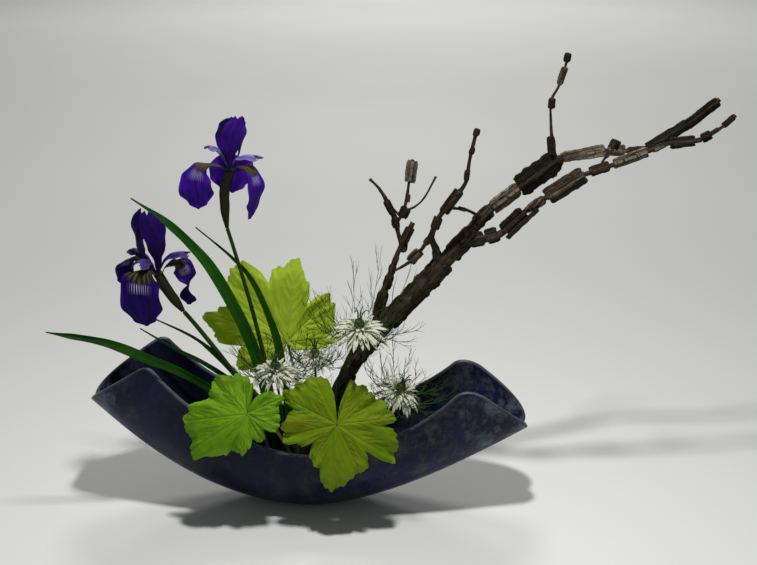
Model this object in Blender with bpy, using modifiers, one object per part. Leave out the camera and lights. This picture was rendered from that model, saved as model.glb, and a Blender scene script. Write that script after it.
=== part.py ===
"""An ikebana arrangement: irises, winged spindle branches, coral-bell leaves and love-in-a-mist
standing in a pin holder, in a slab bowl folded like a boat.

Run it with: blender --background --python part.py
Metres, +Z up, +X along the bowl towards the branch's tip, -Y towards the viewer.
The origin is on the flat foot under the middle of the bowl.
"""

import math

import bmesh
import bpy
from mathutils import Matrix, Vector

MM = 0.001
GAP = 0.35 * MM  # left between two pieces that touch

# The bowl: a slab folded up along its length, its two ends rising.
BOWL_HALF_LENGTH = 183 * MM  # to the low corner of each end
BOWL_END_HEIGHT = 88 * MM  # of that corner
BOWL_RIM_HALF_LENGTH = 130 * MM
BOWL_RIM_END_HEIGHT = 135 * MM
BOWL_RIM_MIDDLE_HEIGHT = 67 * MM
BOWL_RIM_END_HALF_WIDTH = 34 * MM
BOWL_RIM_MIDDLE_HALF_WIDTH = 45 * MM
BOWL_END_BULGES = (5 * MM, 9 * MM)  # how far the left and right end walls bow outwards
BOWL_FOLD_POWERS = (2.1, 1.62)  # how steeply the fold curves up to the left and to the right
BOWL_CORNERS = ((0.04, 0.08), (0.065, 0.15))  # how far round each rim corner is rounded, as shares of u and v
BOWL_WALL = 4.5 * MM
BOWL_LEAN = math.radians(3.2)  # the hand-made form stands a little higher at the left
BOWL_SLUMP = 2.6 * MM  # how far the fold has settled into a flat foot
BOWL_COLUMNS, BOWL_ROWS = 26, 12

# The pin holder: a cast block with rows of pins.
KENZAN_SIZE = Vector((66, 36, 8)) * MM
KENZAN_CENTRE = Vector((2, 0)) * MM
KENZAN_FLOOR = 13.0 * MM  # underside, where the block's long edges meet the bowl's curve
KENZAN_PINS = (12, 6)
PIN_HEIGHT = 9 * MM
PIN_HALF_WIDTH = 0.8 * MM

# Every stem's route starts at z = 22.3 (mm): its slanting cut end then just clears the block.

PETAL_THICKNESS = 0.7 * MM
BLADE_THICKNESS = 0.8 * MM
LEAF_THICKNESS = 0.7 * MM

LEAF_FACE = Vector((0, -1, 0.25))  # the side that the sword leaves turn their faces to


# ---------------------------------------------------------------- scene, finishes and curves

for old in list(bpy.data.objects):
    bpy.data.objects.remove(old, do_unlink=True)

arrangement = bpy.data.collections.new("ikebana_arrangement")
joined = bpy.data.collections.new("joined_wood")
for collection in (arrangement, joined):
    bpy.context.scene.collection.children.link(collection)
joined.hide_render = True


def finish(name, colour, roughness, metallic=0.0):
    material = bpy.data.materials.new(name)
    material.use_nodes = True
    shader = material.node_tree.nodes["Principled BSDF"]
    shader.inputs["Base Color"].default_value = (*colour, 1.0)
    shader.inputs["Roughness"].default_value = roughness
    shader.inputs["Metallic"].default_value = metallic
    return material


GLAZE = finish("blue_black_glaze", (0.025, 0.035, 0.075), 0.3)
LEAD = finish("cast_lead", (0.16, 0.15, 0.12), 0.45, 0.9)
BARK = finish("corky_bark", (0.075, 0.055, 0.042), 0.85)
STALK = finish("iris_stalk", (0.06, 0.13, 0.03), 0.5)
SPATHE = finish("spathe", (0.07, 0.075, 0.03), 0.55)
BLADE = finish("sword_leaf", (0.05, 0.17, 0.02), 0.4)
FALL = finish("fall_petal", (0.08, 0.03, 0.34), 0.5)
STANDARD = finish("standard_petal", (0.07, 0.025, 0.3), 0.5)
STYLE = finish("style_arm", (0.27, 0.19, 0.56), 0.5)
LIME = finish("lime_leaf", (0.28, 0.46, 0.02), 0.5)
LIME_STALK = finish("lime_leaf_stalk", (0.22, 0.28, 0.08), 0.5)
WHITE = finish("white_petal", (0.85, 0.86, 0.78), 0.5)
MIST = finish("mist_bract", (0.07, 0.16, 0.05), 0.5)
POD = finish("seed_head", (0.13, 0.27, 0.05), 0.45)


def adopt(obj, name, material, parent=None):
    """Names a new object, gives it its finish and moves it into the arrangement."""
    obj.name = name
    obj.data.name = name
    obj.data.materials.append(material)
    for collection in list(obj.users_collection):
        collection.objects.unlink(obj)
    arrangement.objects.link(obj)
    obj.parent = parent
    return obj


def new_mesh_object(name, bm, material, parent=None):
    mesh = bpy.data.meshes.new(name)
    bm.to_mesh(mesh)
    bm.free()
    return adopt(bpy.data.objects.new(name, mesh), name, material, parent)


def stand(name, place, turn=(0.0, 0.0, 0.0)):
    """An empty that a flower's pieces hang from."""
    empty = bpy.data.objects.new(name, None)
    empty.location = place
    empty.rotation_euler = turn
    arrangement.objects.link(empty)
    return empty


def through(points, per_span):
    """A smooth curve through the points, as Catmull-Rom spans of per_span steps each."""
    points = [Vector(p) for p in points]
    ends = [points[0] * 2 - points[1], *points, points[-1] * 2 - points[-2]]
    found = []
    for a, b, c, d in zip(ends, ends[1:], ends[2:], ends[3:]):
        for step in range(per_span):
            t = step / per_span
            curve = (c - a) * t + (a * 2 - b * 5 + c * 4 - d) * t**2 + (b * 3 - a - c * 3 + d) * t**3
            found.append(b + curve / 2)
    return [*found, points[-1]]


def along(stations, t):
    """The value at t of a list of (t, value) stations, eased between them."""
    for (t0, a), (t1, b) in zip(stations, stations[1:]):
        if t <= t1:
            ease = (t - t0) / (t1 - t0)
            ease = ease * ease * (3 - 2 * ease)
            return a + (b - a) * ease
    return stations[-1][1]


def tube_curve(name, route, radii, sides=1):
    """A curve object along the route with a round section; radii run from its foot to its top."""
    curve = bpy.data.curves.new(name, "CURVE")
    curve.dimensions = "3D"
    curve.bevel_depth = max(radii)
    curve.bevel_resolution = sides
    curve.use_fill_caps = True
    spline = curve.splines.new("POLY")
    spline.points.add(len(route) - 1)
    last = len(route) - 1
    for i, (point, place) in enumerate(zip(spline.points, route)):
        at = i / last * (len(radii) - 1)
        low = min(int(at), len(radii) - 2)
        radius = radii[low] + (radii[low + 1] - radii[low]) * (at - low)
        point.co = (*place, 1.0)
        point.radius = radius / curve.bevel_depth
    return bpy.data.objects.new(name, curve)


def stalk(name, points, radii, material, per_span=3):
    """A soft stem: points in mm from its foot, radii in mm."""
    route = through([Vector(p) * MM for p in points], per_span)
    obj = tube_curve(name, route, [r * MM for r in radii])
    return adopt(obj, name, material)


def sheet(name, columns, rows, place, thickness, material, parent=None):
    """A thin closed piece. place(s, t) gives the middle surface for s across and t along, -1 to 1."""
    bpy.ops.mesh.primitive_grid_add(x_subdivisions=columns, y_subdivisions=rows, size=2)
    obj = bpy.context.object
    for vertex in obj.data.vertices:
        vertex.co = place(vertex.co.x, vertex.co.y)
    adopt(obj, name, material, parent)
    solidify = obj.modifiers.new("thickness", "SOLIDIFY")
    solidify.thickness = thickness
    solidify.offset = 0
    obj.data.shade_smooth()
    return obj


# ---------------------------------------------------------------- bowl and pin holder


def round_corner(u, v):
    """Rounds the slab's corners: within BOWL_CORNERS of one, the square is drawn in to an ellipse."""
    wide, tall = BOWL_CORNERS[u > 0]
    p, q = (abs(u) - 1 + wide) / wide, (abs(v) - 1 + tall) / tall
    if p <= 0 or q <= 0:
        return u, v
    p, q = p * math.sqrt(1 - q * q / 2), q * math.sqrt(1 - p * p / 2)
    return math.copysign(1 - wide + wide * p, u), math.copysign(1 - tall + tall * q, v)


def bowl_point(u, v):
    """The bowl's outer face: u runs along it and v round it, front rim to back rim, -1 to 1."""
    u, v = round_corner(u, v)
    turn = v * math.pi / 2
    share = abs(u)
    rise = 0.88 * share**1.78 + 0.12 * share**6 if u < 0 else 0.75 * share**1.6 + 0.25 * share**5
    power, bulge = [pair[u > 0] for pair in (BOWL_FOLD_POWERS, BOWL_END_BULGES)]
    height = BOWL_RIM_MIDDLE_HEIGHT + (BOWL_RIM_END_HEIGHT - BOWL_RIM_MIDDLE_HEIGHT) * rise
    width = BOWL_RIM_MIDDLE_HALF_WIDTH + (BOWL_RIM_END_HALF_WIDTH - BOWL_RIM_MIDDLE_HALF_WIDTH) * u * u
    fold = Vector((BOWL_HALF_LENGTH * u, 0, BOWL_END_HEIGHT * share**power))
    rim = Vector((BOWL_RIM_HALF_LENGTH * u, 0, height))
    point = fold.lerp(rim, 1 - math.cos(turn))
    point.y = width * math.sin(turn)
    point.x += math.copysign(bulge * u**6 * math.sin(math.pi * abs(v)), u)
    point = Matrix.Rotation(BOWL_LEAN, 3, "Y") @ point
    point.z = max(point.z - BOWL_SLUMP, 0.0)
    return point


def build_bowl():
    bowl = sheet("bowl", BOWL_COLUMNS, BOWL_ROWS, bowl_point, BOWL_WALL, GLAZE)
    bowl.modifiers["thickness"].offset = 1  # the wall grows inwards from the outer face


def distance_to_stem(place, foot, above, radius):
    """How far a pin at place is from a stem that leans from foot to above (its plan at the pins' tips)."""
    lean = above - foot
    share = max(0.0, min(1.0, (place - foot).dot(lean) / max(lean.dot(lean), MM * MM)))
    return (place - foot - lean * share).length - radius


def build_kenzan(feet):
    """A block whose top cells each carry a pin, but for the cells that a stem stands in."""
    columns, rows = KENZAN_PINS
    bm = bmesh.new()
    bmesh.ops.create_cube(bm, size=1)
    bmesh.ops.scale(bm, vec=KENZAN_SIZE, verts=bm.verts)
    bmesh.ops.bevel(
        bm,
        geom=[edge for edge in bm.edges if abs(edge.verts[0].co.z - edge.verts[1].co.z) > MM],
        offset=4 * MM,
        segments=2,
        profile=0.5,
        affect="EDGES",
        material=-1,
    )
    centre = Vector((*KENZAN_CENTRE, KENZAN_FLOOR + KENZAN_SIZE.z / 2))
    bmesh.ops.translate(bm, vec=centre, verts=bm.verts)
    block = new_mesh_object("kenzan", bm, LEAD)
    pins = bmesh.new()
    pitch = Vector(((KENZAN_SIZE.x - 6 * MM) / (columns - 1), (KENZAN_SIZE.y - 6 * MM) / (rows - 1)))
    sunk = 2 * MM
    for column in range(columns):
        for row in range(rows):
            place = KENZAN_CENTRE + Vector(
                ((column - (columns - 1) / 2) * pitch.x, (row - (rows - 1) / 2) * pitch.y)
            )
            if any(distance_to_stem(place, *foot) < PIN_HALF_WIDTH * 1.5 + GAP for foot in feet):
                continue
            height = KENZAN_FLOOR + KENZAN_SIZE.z + (PIN_HEIGHT - sunk) / 2
            bmesh.ops.create_cone(
                pins,
                cap_ends=True,
                segments=4,
                radius1=PIN_HALF_WIDTH * 1.4,
                radius2=PIN_HALF_WIDTH * 0.3,
                depth=PIN_HEIGHT + sunk,
                matrix=Matrix.Translation((*place, height)),
            )
    mesh = bpy.data.meshes.new("kenzan_pins")
    pins.to_mesh(mesh)
    pins.free()
    comb = bpy.data.objects.new("kenzan_pins", mesh)
    joined.objects.link(comb)
    comb.hide_render = True
    comb.display_type = "WIRE"
    join = block.modifiers.new("pins", "BOOLEAN")
    join.operation = "UNION"
    join.object = comb


# ---------------------------------------------------------------- branches

# Each limb is a list of (x, y, z, radius) in mm, from its thick end; the points are its knots.
MAIN_LIMBS = {
    "trunk": [
        (-4, 8, 22.0, 5.6), (-3.4, 8, 29, 6.0), (12, 7, 62, 5.8), (31, 4, 104, 5.6), (48, 4, 132, 5.4),
        (64, 5, 153, 5.8),
        (82, 6, 176, 5.7), (98, 8, 192, 6.2), (114, 9, 211, 6.6), (130, 11, 230, 6.2), (142, 12, 243, 5.6),
    ],
    "upper_fork": [
        (136, 12, 238, 5.5), (148, 15, 253, 4.0), (160, 20, 264, 2.9), (178, 24, 275, 2.4),
        (196, 29, 289, 2.2), (208, 32, 297, 2.4), (222, 34, 300, 1.9), (243, 36, 303, 1.8),
        (264, 36, 303, 1.8), (284, 36, 306, 1.8), (304, 38, 317, 1.7), (313, 38, 327, 1.5),
        (334, 38, 345, 1.8),
    ],
    "lower_fork": [
        (134, 11, 233, 4.4), (149, 6, 237, 3.4), (162, 4, 242, 2.8), (174, 2, 254, 2.3), (184, 0, 265, 2.0),
        (196, -2, 274, 2.0), (218, -6, 291, 1.9), (236, -6, 298, 1.7), (256, -6, 306, 1.7),
        (274, -4, 313, 1.6), (288, -2, 318, 1.5), (306, 0, 320, 1.4), (317, 0, 323, 1.2),
        (328, 2, 330, 1.2), (338, 4, 339, 1.6),
    ],
    "top_twig": [
        (207, 32, 296, 2.2), (203, 30, 308, 1.6), (200, 28, 333, 0.9), (200, 27, 346, 1.1),
        (205, 24, 358, 0.9), (209, 22, 374, 0.9), (210, 20, 383, 1.5),
    ],
    "spur": [(237, -6, 298, 1.1), (238, -4, 304, 0.9), (245, -2, 312.5, 1.2), (248.4, 0, 320, 1.8)],
    "inner_fork": [
        (113, 9, 212, 4.4), (111, 6, 227, 3.0), (107, 3, 238, 2.4), (109, -1, 248, 2.2),
        (114, -4, 260, 2.0), (120, -6, 268, 2.0), (127, -8, 278, 1.8), (133, -10, 289, 1.5),
        (135, -12, 306, 1.3), (140, -14, 331, 1.4),
    ],
    "inner_hook": [
        (119, -6, 267, 1.5), (124, -3, 265, 1.2), (134, 3, 262, 1.2), (141, 8, 257.5, 1.2),
        (147, 13, 252, 1.4),
    ],
    "hanging_twig": [
        (107, 2, 242, 1.9), (101, 4, 231, 1.5), (94, 8, 220, 1.7), (84, 11, 211, 1.2),
        (77.5, 13.5, 206.5, 0.9),
    ],
}
SIDE_LIMBS = {
    "stem": [
        (11, 13, 21.6, 2.8), (12, 13.4, 27, 3.0), (21, 17, 64, 2.8), (34, 19, 112, 2.9),
        (46, 19, 138, 2.8), (62, 19, 160, 3.2),
        (68, 19, 184, 3.4), (73, 19, 199, 2.8), (77, 20, 212, 2.2), (83, 22, 227, 2.0), (88, 24, 236, 2.4),
        (92, 26, 244, 2.0),
    ],
    "crook": [
        (83, 22, 225, 1.8), (79, 22, 240, 1.9), (77, 22, 249, 2.2), (71, 20, 263, 1.9), (65, 18, 274, 1.2),
        (57, 16, 283, 1.1),
    ],
    "pod_twig": [
        (78, 22, 244, 1.4), (84, 24, 254, 1.6), (87, 24, 268, 1.2), (89, 24, 284, 1.2),
        (91, 26, 297, 1.3),
    ],
    "whip": [(83, 24, 254, 1.1), (93, 24, 258, 0.9), (101, 24, 266, 0.8), (110, 22, 284, 0.9)],
    "fork": [(65, 18, 273, 0.9), (72, 20, 262, 0.8), (80, 22, 252, 0.9)],
}
# Cork wings: limb ends in mm, then the full width facing the viewer and the full width across it.
MAIN_WINGS = [
    ((70, 5, 161), (108, 9, 204), 20, 15),
    ((176, 23.5, 274.5), (207, 31.5, 296), 21, 12),
    ((155, 17.5, 259), (176.5, 24, 274.2), 12, 10),
    ((142, 13, 247), (155, 17, 258.6), 12, 11),
    ((210, 32, 298), (248, 36, 303.5), 9, 5),
    ((279, 36, 305), (308, 38, 320.5), 9, 6),
    ((309, 38, 323), (333, 38, 343), 9, 7),
    ((164, 4, 244), (180, 1, 261), 14, 9),
    ((196, -2, 274), (224, -6, 294), 15, 11),
    ((228, -6, 296), (272, -4, 312), 8, 6),
    ((288, -2, 318), (308, 0, 320), 8, 6),
    ((203, 30, 300), (201, 29, 316), 6, 4),
    ((205, 24, 358), (208, 22, 371), 5, 4),
    ((116, -5, 262), (128, -8.5, 281), 8, 7),
    ((149, 6, 237), (160, 4, 241.6), 13, 10),
    ((98, 6, 226), (90, 9, 216), 8, 6.5),
]
SIDE_WINGS = [
    ((63, 19, 164), (68, 19, 184), 10, 8),
    ((88, 24, 276), (90.5, 25.5, 295), 10, 8),
    ((76, 21, 252), (71, 20, 263), 6, 5),
    ((84, 22, 228), (89, 24, 238), 7, 6),
    ((83.5, 22.8, 249.5), (86, 24, 257), 8, 7),
]
WING_THICKNESS = 2.6 * MM
WING_END_SHARE = 0.72  # a wing's width at its ends


def limb_mesh(name, knots):
    """One limb as a closed mesh, ready to be joined."""
    route = [Vector(knot[:3]) * MM for knot in knots]
    curve = tube_curve(name, route, [knot[3] * MM for knot in knots])
    joined.objects.link(curve)
    graph = bpy.context.evaluated_depsgraph_get()
    mesh = bpy.data.meshes.new_from_object(curve.evaluated_get(graph))
    limb = bpy.data.objects.new(name, mesh)
    limb.matrix_world = curve.matrix_world
    bpy.data.objects.remove(curve, do_unlink=True)
    bm = bmesh.new()
    bm.from_mesh(mesh)
    bmesh.ops.remove_doubles(bm, verts=bm.verts, dist=0.01 * MM)
    bmesh.ops.recalc_face_normals(bm, faces=bm.faces)
    bm.to_mesh(mesh)
    bm.free()
    return limb


def wing_mesh(name, start, end, width, turned):
    """One cork plate through a limb: its wings stand out on both sides. turned sets it across the view."""
    start, end = Vector(start) * MM, Vector(end) * MM
    length = (end - start).length
    forward = (end - start).normalized()
    side = forward.cross(Vector((0, 1, 0))).normalized()
    facing = side.cross(forward)
    if turned:
        side, facing = facing, -side
    frame = Matrix((side, facing, forward)).transposed().to_4x4()
    frame.translation = (start + end) / 2
    bm = bmesh.new()
    bmesh.ops.create_cube(bm, size=1)
    bmesh.ops.scale(bm, vec=(width * MM, WING_THICKNESS, length), verts=bm.verts)
    for face in bm.faces:
        if abs(face.normal.z) > 0.9:
            bmesh.ops.scale(bm, vec=(WING_END_SHARE, 1, 1), verts=face.verts)
    bmesh.ops.transform(bm, matrix=frame, verts=bm.verts)
    mesh = bpy.data.meshes.new(name)
    bm.to_mesh(mesh)
    bm.free()
    return bpy.data.objects.new(name, mesh)


def build_branch(name, limbs, wings):
    """One branch: its first limb, joined to all of its other limbs and its cork wings."""
    first, *others = [limb_mesh(f"{name}_{limb}", knots) for limb, knots in limbs.items()]
    adopt(first, name, BARK)
    group = bpy.data.collections.new(f"{name}_joined")
    joined.children.link(group)
    for number, (start, end, width, across) in enumerate(wings):
        others.append(wing_mesh(f"{name}_wing_{number}", start, end, width, False))
        if across > 6:
            others.append(wing_mesh(f"{name}_cross_wing_{number}", start, end, across, True))
    for piece in others:
        group.objects.link(piece)
        piece.hide_render = True
        piece.display_type = "WIRE"
    join = first.modifiers.new("limbs", "BOOLEAN")
    join.operation = "UNION"
    join.operand_type = "COLLECTION"
    join.collection = group
    join.solver = "EXACT"


# ---------------------------------------------------------------- irises

FALL_WIDTHS = [
    (0, 2.0), (0.15, 4.0), (0.3, 6.2), (0.45, 8.0), (0.6, 13.6), (0.77, 14.2), (0.92, 8.0), (1, 0.6),
]
BACK_FALL_WIDTHS = [
    (0, 2.0), (0.15, 3.6), (0.35, 4.8), (0.42, 9.0), (0.6, 18.0), (0.78, 18.0), (0.92, 10.0), (1, 0.6),
]
NARROW_FALL_WIDTHS = [
    (0, 2.0), (0.15, 4.0), (0.3, 6.0), (0.5, 8.0), (0.65, 9.5), (0.8, 8.0), (0.92, 3.6), (1, 1.8),
]
TWISTED_FALL_WIDTHS = [
    (0, 1.8), (0.15, 3.4), (0.35, 5.0), (0.5, 8.5), (0.62, 8.0), (0.76, 4.5), (0.92, 8.0), (1, 1.5),
]
STANDARD_WIDTHS = [(0, 1.4), (0.2, 2.6), (0.42, 7.0), (0.66, 9.5), (0.83, 7.8), (0.94, 5.4), (1, 2.8)]
STYLE_WIDTHS = [(0, 1.2), (0.25, 2.3), (0.5, 4.8), (0.8, 5.8), (0.93, 5.2), (1, 3.4)]
BROAD_STYLE_WIDTHS = [(0, 1.2), (0.28, 2.4), (0.5, 6.0), (0.8, 7.6), (0.93, 6.6), (1, 4.0)]
FALL_HOLLOW = -0.1
STANDARD_HOLLOW = 0.12
STYLE_HOLLOW = -0.55


def petal(name, flower, plan, widths, material, hollow, columns, rows):
    """A petal from its plan: its azimuth in degrees, then its midline as (distance out, height) in mm.

    widths are half widths in mm along it. hollow is how far its edges rise above the midline, as a
    share of the half width. The plan may also hold stations of twist about the midline, in degrees,
    and a sway: how far its tip has gone sideways, in mm.
    """
    line = through([Vector((out, 0, up)) * MM for out, up in plan["midline"]], 8)
    last = len(line) - 1
    twists = plan.get("twist", [(0, 0), (1, 0)])
    sway = plan.get("sway", 0) * MM

    def place(s, t):
        t = (t + 1) / 2
        at = t * last
        low = min(int(at), last - 1)
        point = line[low].lerp(line[low + 1], at - low)
        forward = (line[low + 1] - line[low]).normalized()
        up = Vector((-forward.z, 0, forward.x))
        half = along(plan.get("widths", widths), t) * MM
        turn = Matrix.Rotation(math.radians(along(twists, t)), 3, forward)
        side = turn @ Vector((0, 1, 0))
        rise = turn @ up
        return point + Vector((0, sway * t * t, 0)) + side * half * s + rise * half * hollow * s * s

    obj = sheet(name, columns, rows, place, PETAL_THICKNESS, material, flower)
    obj.rotation_euler.z = math.radians(plan["azimuth"])
    return obj


TALL_IRIS = {
    "centre": (-54.6, 10, 292.5),
    "falls": [
        {
            "azimuth": 217,
            "midline": [
                (4.6, 0.4), (10, 4), (18, 6), (26, 4.5), (30, -3), (31, -13), (30, -22), (29, -29),
            ],
            "twist": [(0, 0), (0.35, -8), (0.6, -38), (1, -44)],
        },
        {
            "azimuth": 328,
            "midline": [
                (4.6, 0.4), (10, 3), (18, 4), (24.5, 0), (27.5, -8), (26.5, -19), (23, -30), (18.5, -39),
            ],
            "widths": NARROW_FALL_WIDTHS,
        },
        {
            "azimuth": 97,
            "midline": [(4.6, 0.4), (10, 5), (18, 6.5), (25, 4.5), (29, -2), (30, -11), (29, -20), (28, -28)],
            "widths": BACK_FALL_WIDTHS,
        },
    ],
    "standards": [
        {
            "azimuth": 280,
            "midline": [(4.4, 0.9), (6, 9), (8.5, 18), (9, 28), (8, 36), (5.5, 43)],
            "sway": 9,
        },
        {
            "azimuth": 18,
            "midline": [(4.4, 0.9), (7, 9), (10, 18), (12, 27), (11, 34), (8, 40)],
            "twist": [(0, 0), (1, -40)],
            "sway": -3,
        },
        {
            "azimuth": 148,
            "midline": [(4.4, 0.9), (5.5, 10), (7.5, 19), (8, 28), (6, 35), (2, 40)],
            "sway": -5,
        },
    ],
    "styles": [
        {"azimuth": 217, "midline": [(1.9, 1.4), (5, 11), (9, 17), (14, 20), (20, 21)]},
        {
            "azimuth": 328,
            "midline": [(1.9, 1.4), (5.5, 7.5), (10, 11), (18, 12.5), (28, 11.5)],
            "sway": 7,
        },
        {"azimuth": 97, "midline": [(1.9, 1.4), (6, 9), (12, 14), (19, 16), (26, 15)]},
    ],
    "spathe": [(-59, 10, 243), (-60, 10, 258), (-59, 10, 276), (-54.8, 10, 291.2)],
    "spathe_radii": [1.5, 2.6, 3.4, 3.6],
    "stalk": [
        (-15, -2, 22.3), (-22, 1, 66), (-29, 5, 114), (-39, 8, 163), (-46, 9, 193), (-53, 10, 220),
        (-58.8, 10, 242.3),
    ],
    "stalk_radii": [2.2, 1.9, 1.6, 1.5],
}
LOW_IRIS = {
    "centre": (-111.6, -20, 214.0),
    "falls": [
        {
            "azimuth": 246,
            "midline": [(4.6, 0.4), (10, 5.5), (18, 7), (24, 3), (27, -6), (28, -17), (28, -27), (26, -35)],
            "widths": [(0, 2.4), (0.15, 5), (0.3, 10), (0.5, 16.0), (0.76, 16.0), (0.92, 9.5), (1, 1)],
            "twist": [(0, 0), (0.3, 0), (0.6, -18), (1, -22)],
            "sway": 7,
        },
        {
            "azimuth": 2,
            "midline": [
                (4.6, 0.4), (7, 5.5), (12, 8.5), (18, 7.5), (22.5, 1), (25, -8), (24, -17), (24, -27),
            ],
            "widths": TWISTED_FALL_WIDTHS,
            "twist": [(0, 0), (0.35, 10), (0.5, 70), (0.62, 60), (0.76, 0), (0.9, -70), (1, -80)],
        },
        {
            "azimuth": 158,
            "midline": [
                (4.6, 0.4), (12, 7), (20, 9.5), (27, 8), (31, 3), (32, -4), (31, -11), (29, -17),
            ],
            "widths": NARROW_FALL_WIDTHS,
            "twist": [(0, 0), (0.4, 0), (0.7, 18), (1, 22)],
        },
    ],
    "standards": [
        {
            "azimuth": 296,
            "midline": [(4.4, 0.9), (6.5, 11), (10, 23), (11.5, 35), (9.5, 45), (6, 53)],
            "sway": -7,
        },
        {"azimuth": 80, "midline": [(4.4, 0.9), (6, 10), (8, 22), (8, 33), (6, 41), (2, 47)], "sway": 6},
        {
            "azimuth": 198,
            "midline": [(4.4, 0.9), (8.5, 11), (12, 22), (13, 33), (11.5, 44), (7.5, 53)],
            "twist": [(0, 0), (0.4, 20), (1, 40)],
        },
    ],
    "styles": [
        {
            "azimuth": 246,
            "midline": [(1.9, 1.4), (6, 10), (12, 15), (19, 15.5), (26, 12)],
            "widths": BROAD_STYLE_WIDTHS,
            "sway": -1,
        },
        {"azimuth": 2, "midline": [(1.9, 1.4), (5.5, 10), (11, 15.5), (19, 17.5), (28, 17.5)]},
        {"azimuth": 158, "midline": [(1.9, 1.4), (6, 9.5), (12, 15), (19, 17.5), (26, 17)]},
    ],
    "spathe": [(-93, -18, 181), (-99, -19, 191), (-106.5, -20, 204), (-111.3, -20, 212.6)],
    "spathe_radii": [1.8, 3.0, 3.5, 3.6],
    "stalk": [
        (4, -12, 22.3), (-12, -13, 64), (-33, -13, 99), (-52, -14, 121), (-69, -16, 147), (-82, -17, 166),
        (-92.4, -17.9, 180.2),
    ],
    "stalk_radii": [2.3, 2.1, 1.9, 1.7],
}


def build_iris(name, iris):
    flower = stand(f"{name}_flower", Vector(iris["centre"]) * MM)
    for number, plan in enumerate(iris["falls"], 1):
        petal(f"{name}_fall_{number}", flower, plan, FALL_WIDTHS, FALL, FALL_HOLLOW, 4, 12)
    for number, plan in enumerate(iris["standards"], 1):
        petal(f"{name}_standard_{number}", flower, plan, STANDARD_WIDTHS, STANDARD, STANDARD_HOLLOW, 4, 9)
    for number, plan in enumerate(iris["styles"], 1):
        petal(f"{name}_style_arm_{number}", flower, plan, STYLE_WIDTHS, STYLE, STYLE_HOLLOW, 2, 8)
    stalk(f"{name}_spathe", iris["spathe"], iris["spathe_radii"], SPATHE)
    stalk(f"{name}_stalk", iris["stalk"], iris["stalk_radii"], STALK)


# ---------------------------------------------------------------- sword leaves

# Each leaf: its midline in mm from its foot, and its half widths in mm along it.
SWORD_LEAVES = {
    "sword_leaf_arching": (
        [
            (-21, -6, 22.3), (-25, -6, 66), (-31, -6, 112), (-44, -6, 158), (-67, -4, 206), (-85, 0, 229),
            (-108, 4, 250), (-136, 10, 267),
        ],
        [(0, 3.0), (0.3, 5.0), (0.55, 4.9), (0.8, 3.4), (1, 0.5)],
    ),
    "sword_leaf_low": (
        [
            (-26.5, -11, 22.3), (-34, -13, 58), (-48, -16, 88), (-72, -20, 111), (-96, -30, 132),
            (-117, -40, 147),
            (-150, -48, 165), (-194, -55, 176),
        ],
        [(0, 2.2), (0.35, 2.6), (0.6, 3.4), (0.78, 4.0), (0.93, 2.4), (1, 0.4)],
    ),
    "sword_leaf_behind": (
        [
            (-11, 14, 22.3), (-14, 14, 76), (-20, 15, 132), (-28, 18, 161), (-42, 20, 194), (-58, 22, 213),
            (-88, 26, 238),
        ],
        [(0, 2.4), (0.35, 3.6), (0.6, 2.4), (0.8, 1.3), (1, 0.4)],
    ),
    "sword_leaf_crossing": (
        [
            (-24, 4, 22.3), (-30, 3, 62), (-42, 1, 96), (-56, 0, 117), (-75, 0, 138), (-93, 0, 152),
            (-125, -2, 169),
        ],
        [(0, 2.4), (0.4, 3.0), (0.6, 2.4), (0.8, 1.2), (1, 0.4)],
    ),
    "sword_leaf_inner": (
        [
            (-24, 12.5, 22.3), (-34, 13, 60), (-50, 13, 90), (-67, 13, 108), (-89, 17, 121),
            (-112, 21, 131),
            (-141, 25, 147),
        ],
        [(0, 2.2), (0.4, 2.6), (0.7, 1.8), (0.9, 0.9), (1, 0.4)],
    ),
}
SWORD_FOLD = 0.22  # how far the edges stand in front of the midrib, as a share of the half width


def sword_leaf(name, midline, widths):
    line = through([Vector(p) * MM for p in midline], 6)
    last = len(line) - 1

    def place(s, t):
        t = (t + 1) / 2
        at = t * last
        low = min(int(at), last - 1)
        point = line[low].lerp(line[low + 1], at - low)
        forward = (line[min(low + 2, last)] - line[max(low - 1, 0)]).normalized()
        side = forward.cross(LEAF_FACE).normalized()
        face = side.cross(forward)
        half = along(widths, t) * MM
        return point + side * half * s + face * half * SWORD_FOLD * abs(s)

    return sheet(name, 2, 21, place, BLADE_THICKNESS, BLADE)


# ---------------------------------------------------------------- coral-bell leaves

BLADE_HOLE = 1.6 * MM  # at the stalk's end

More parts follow.
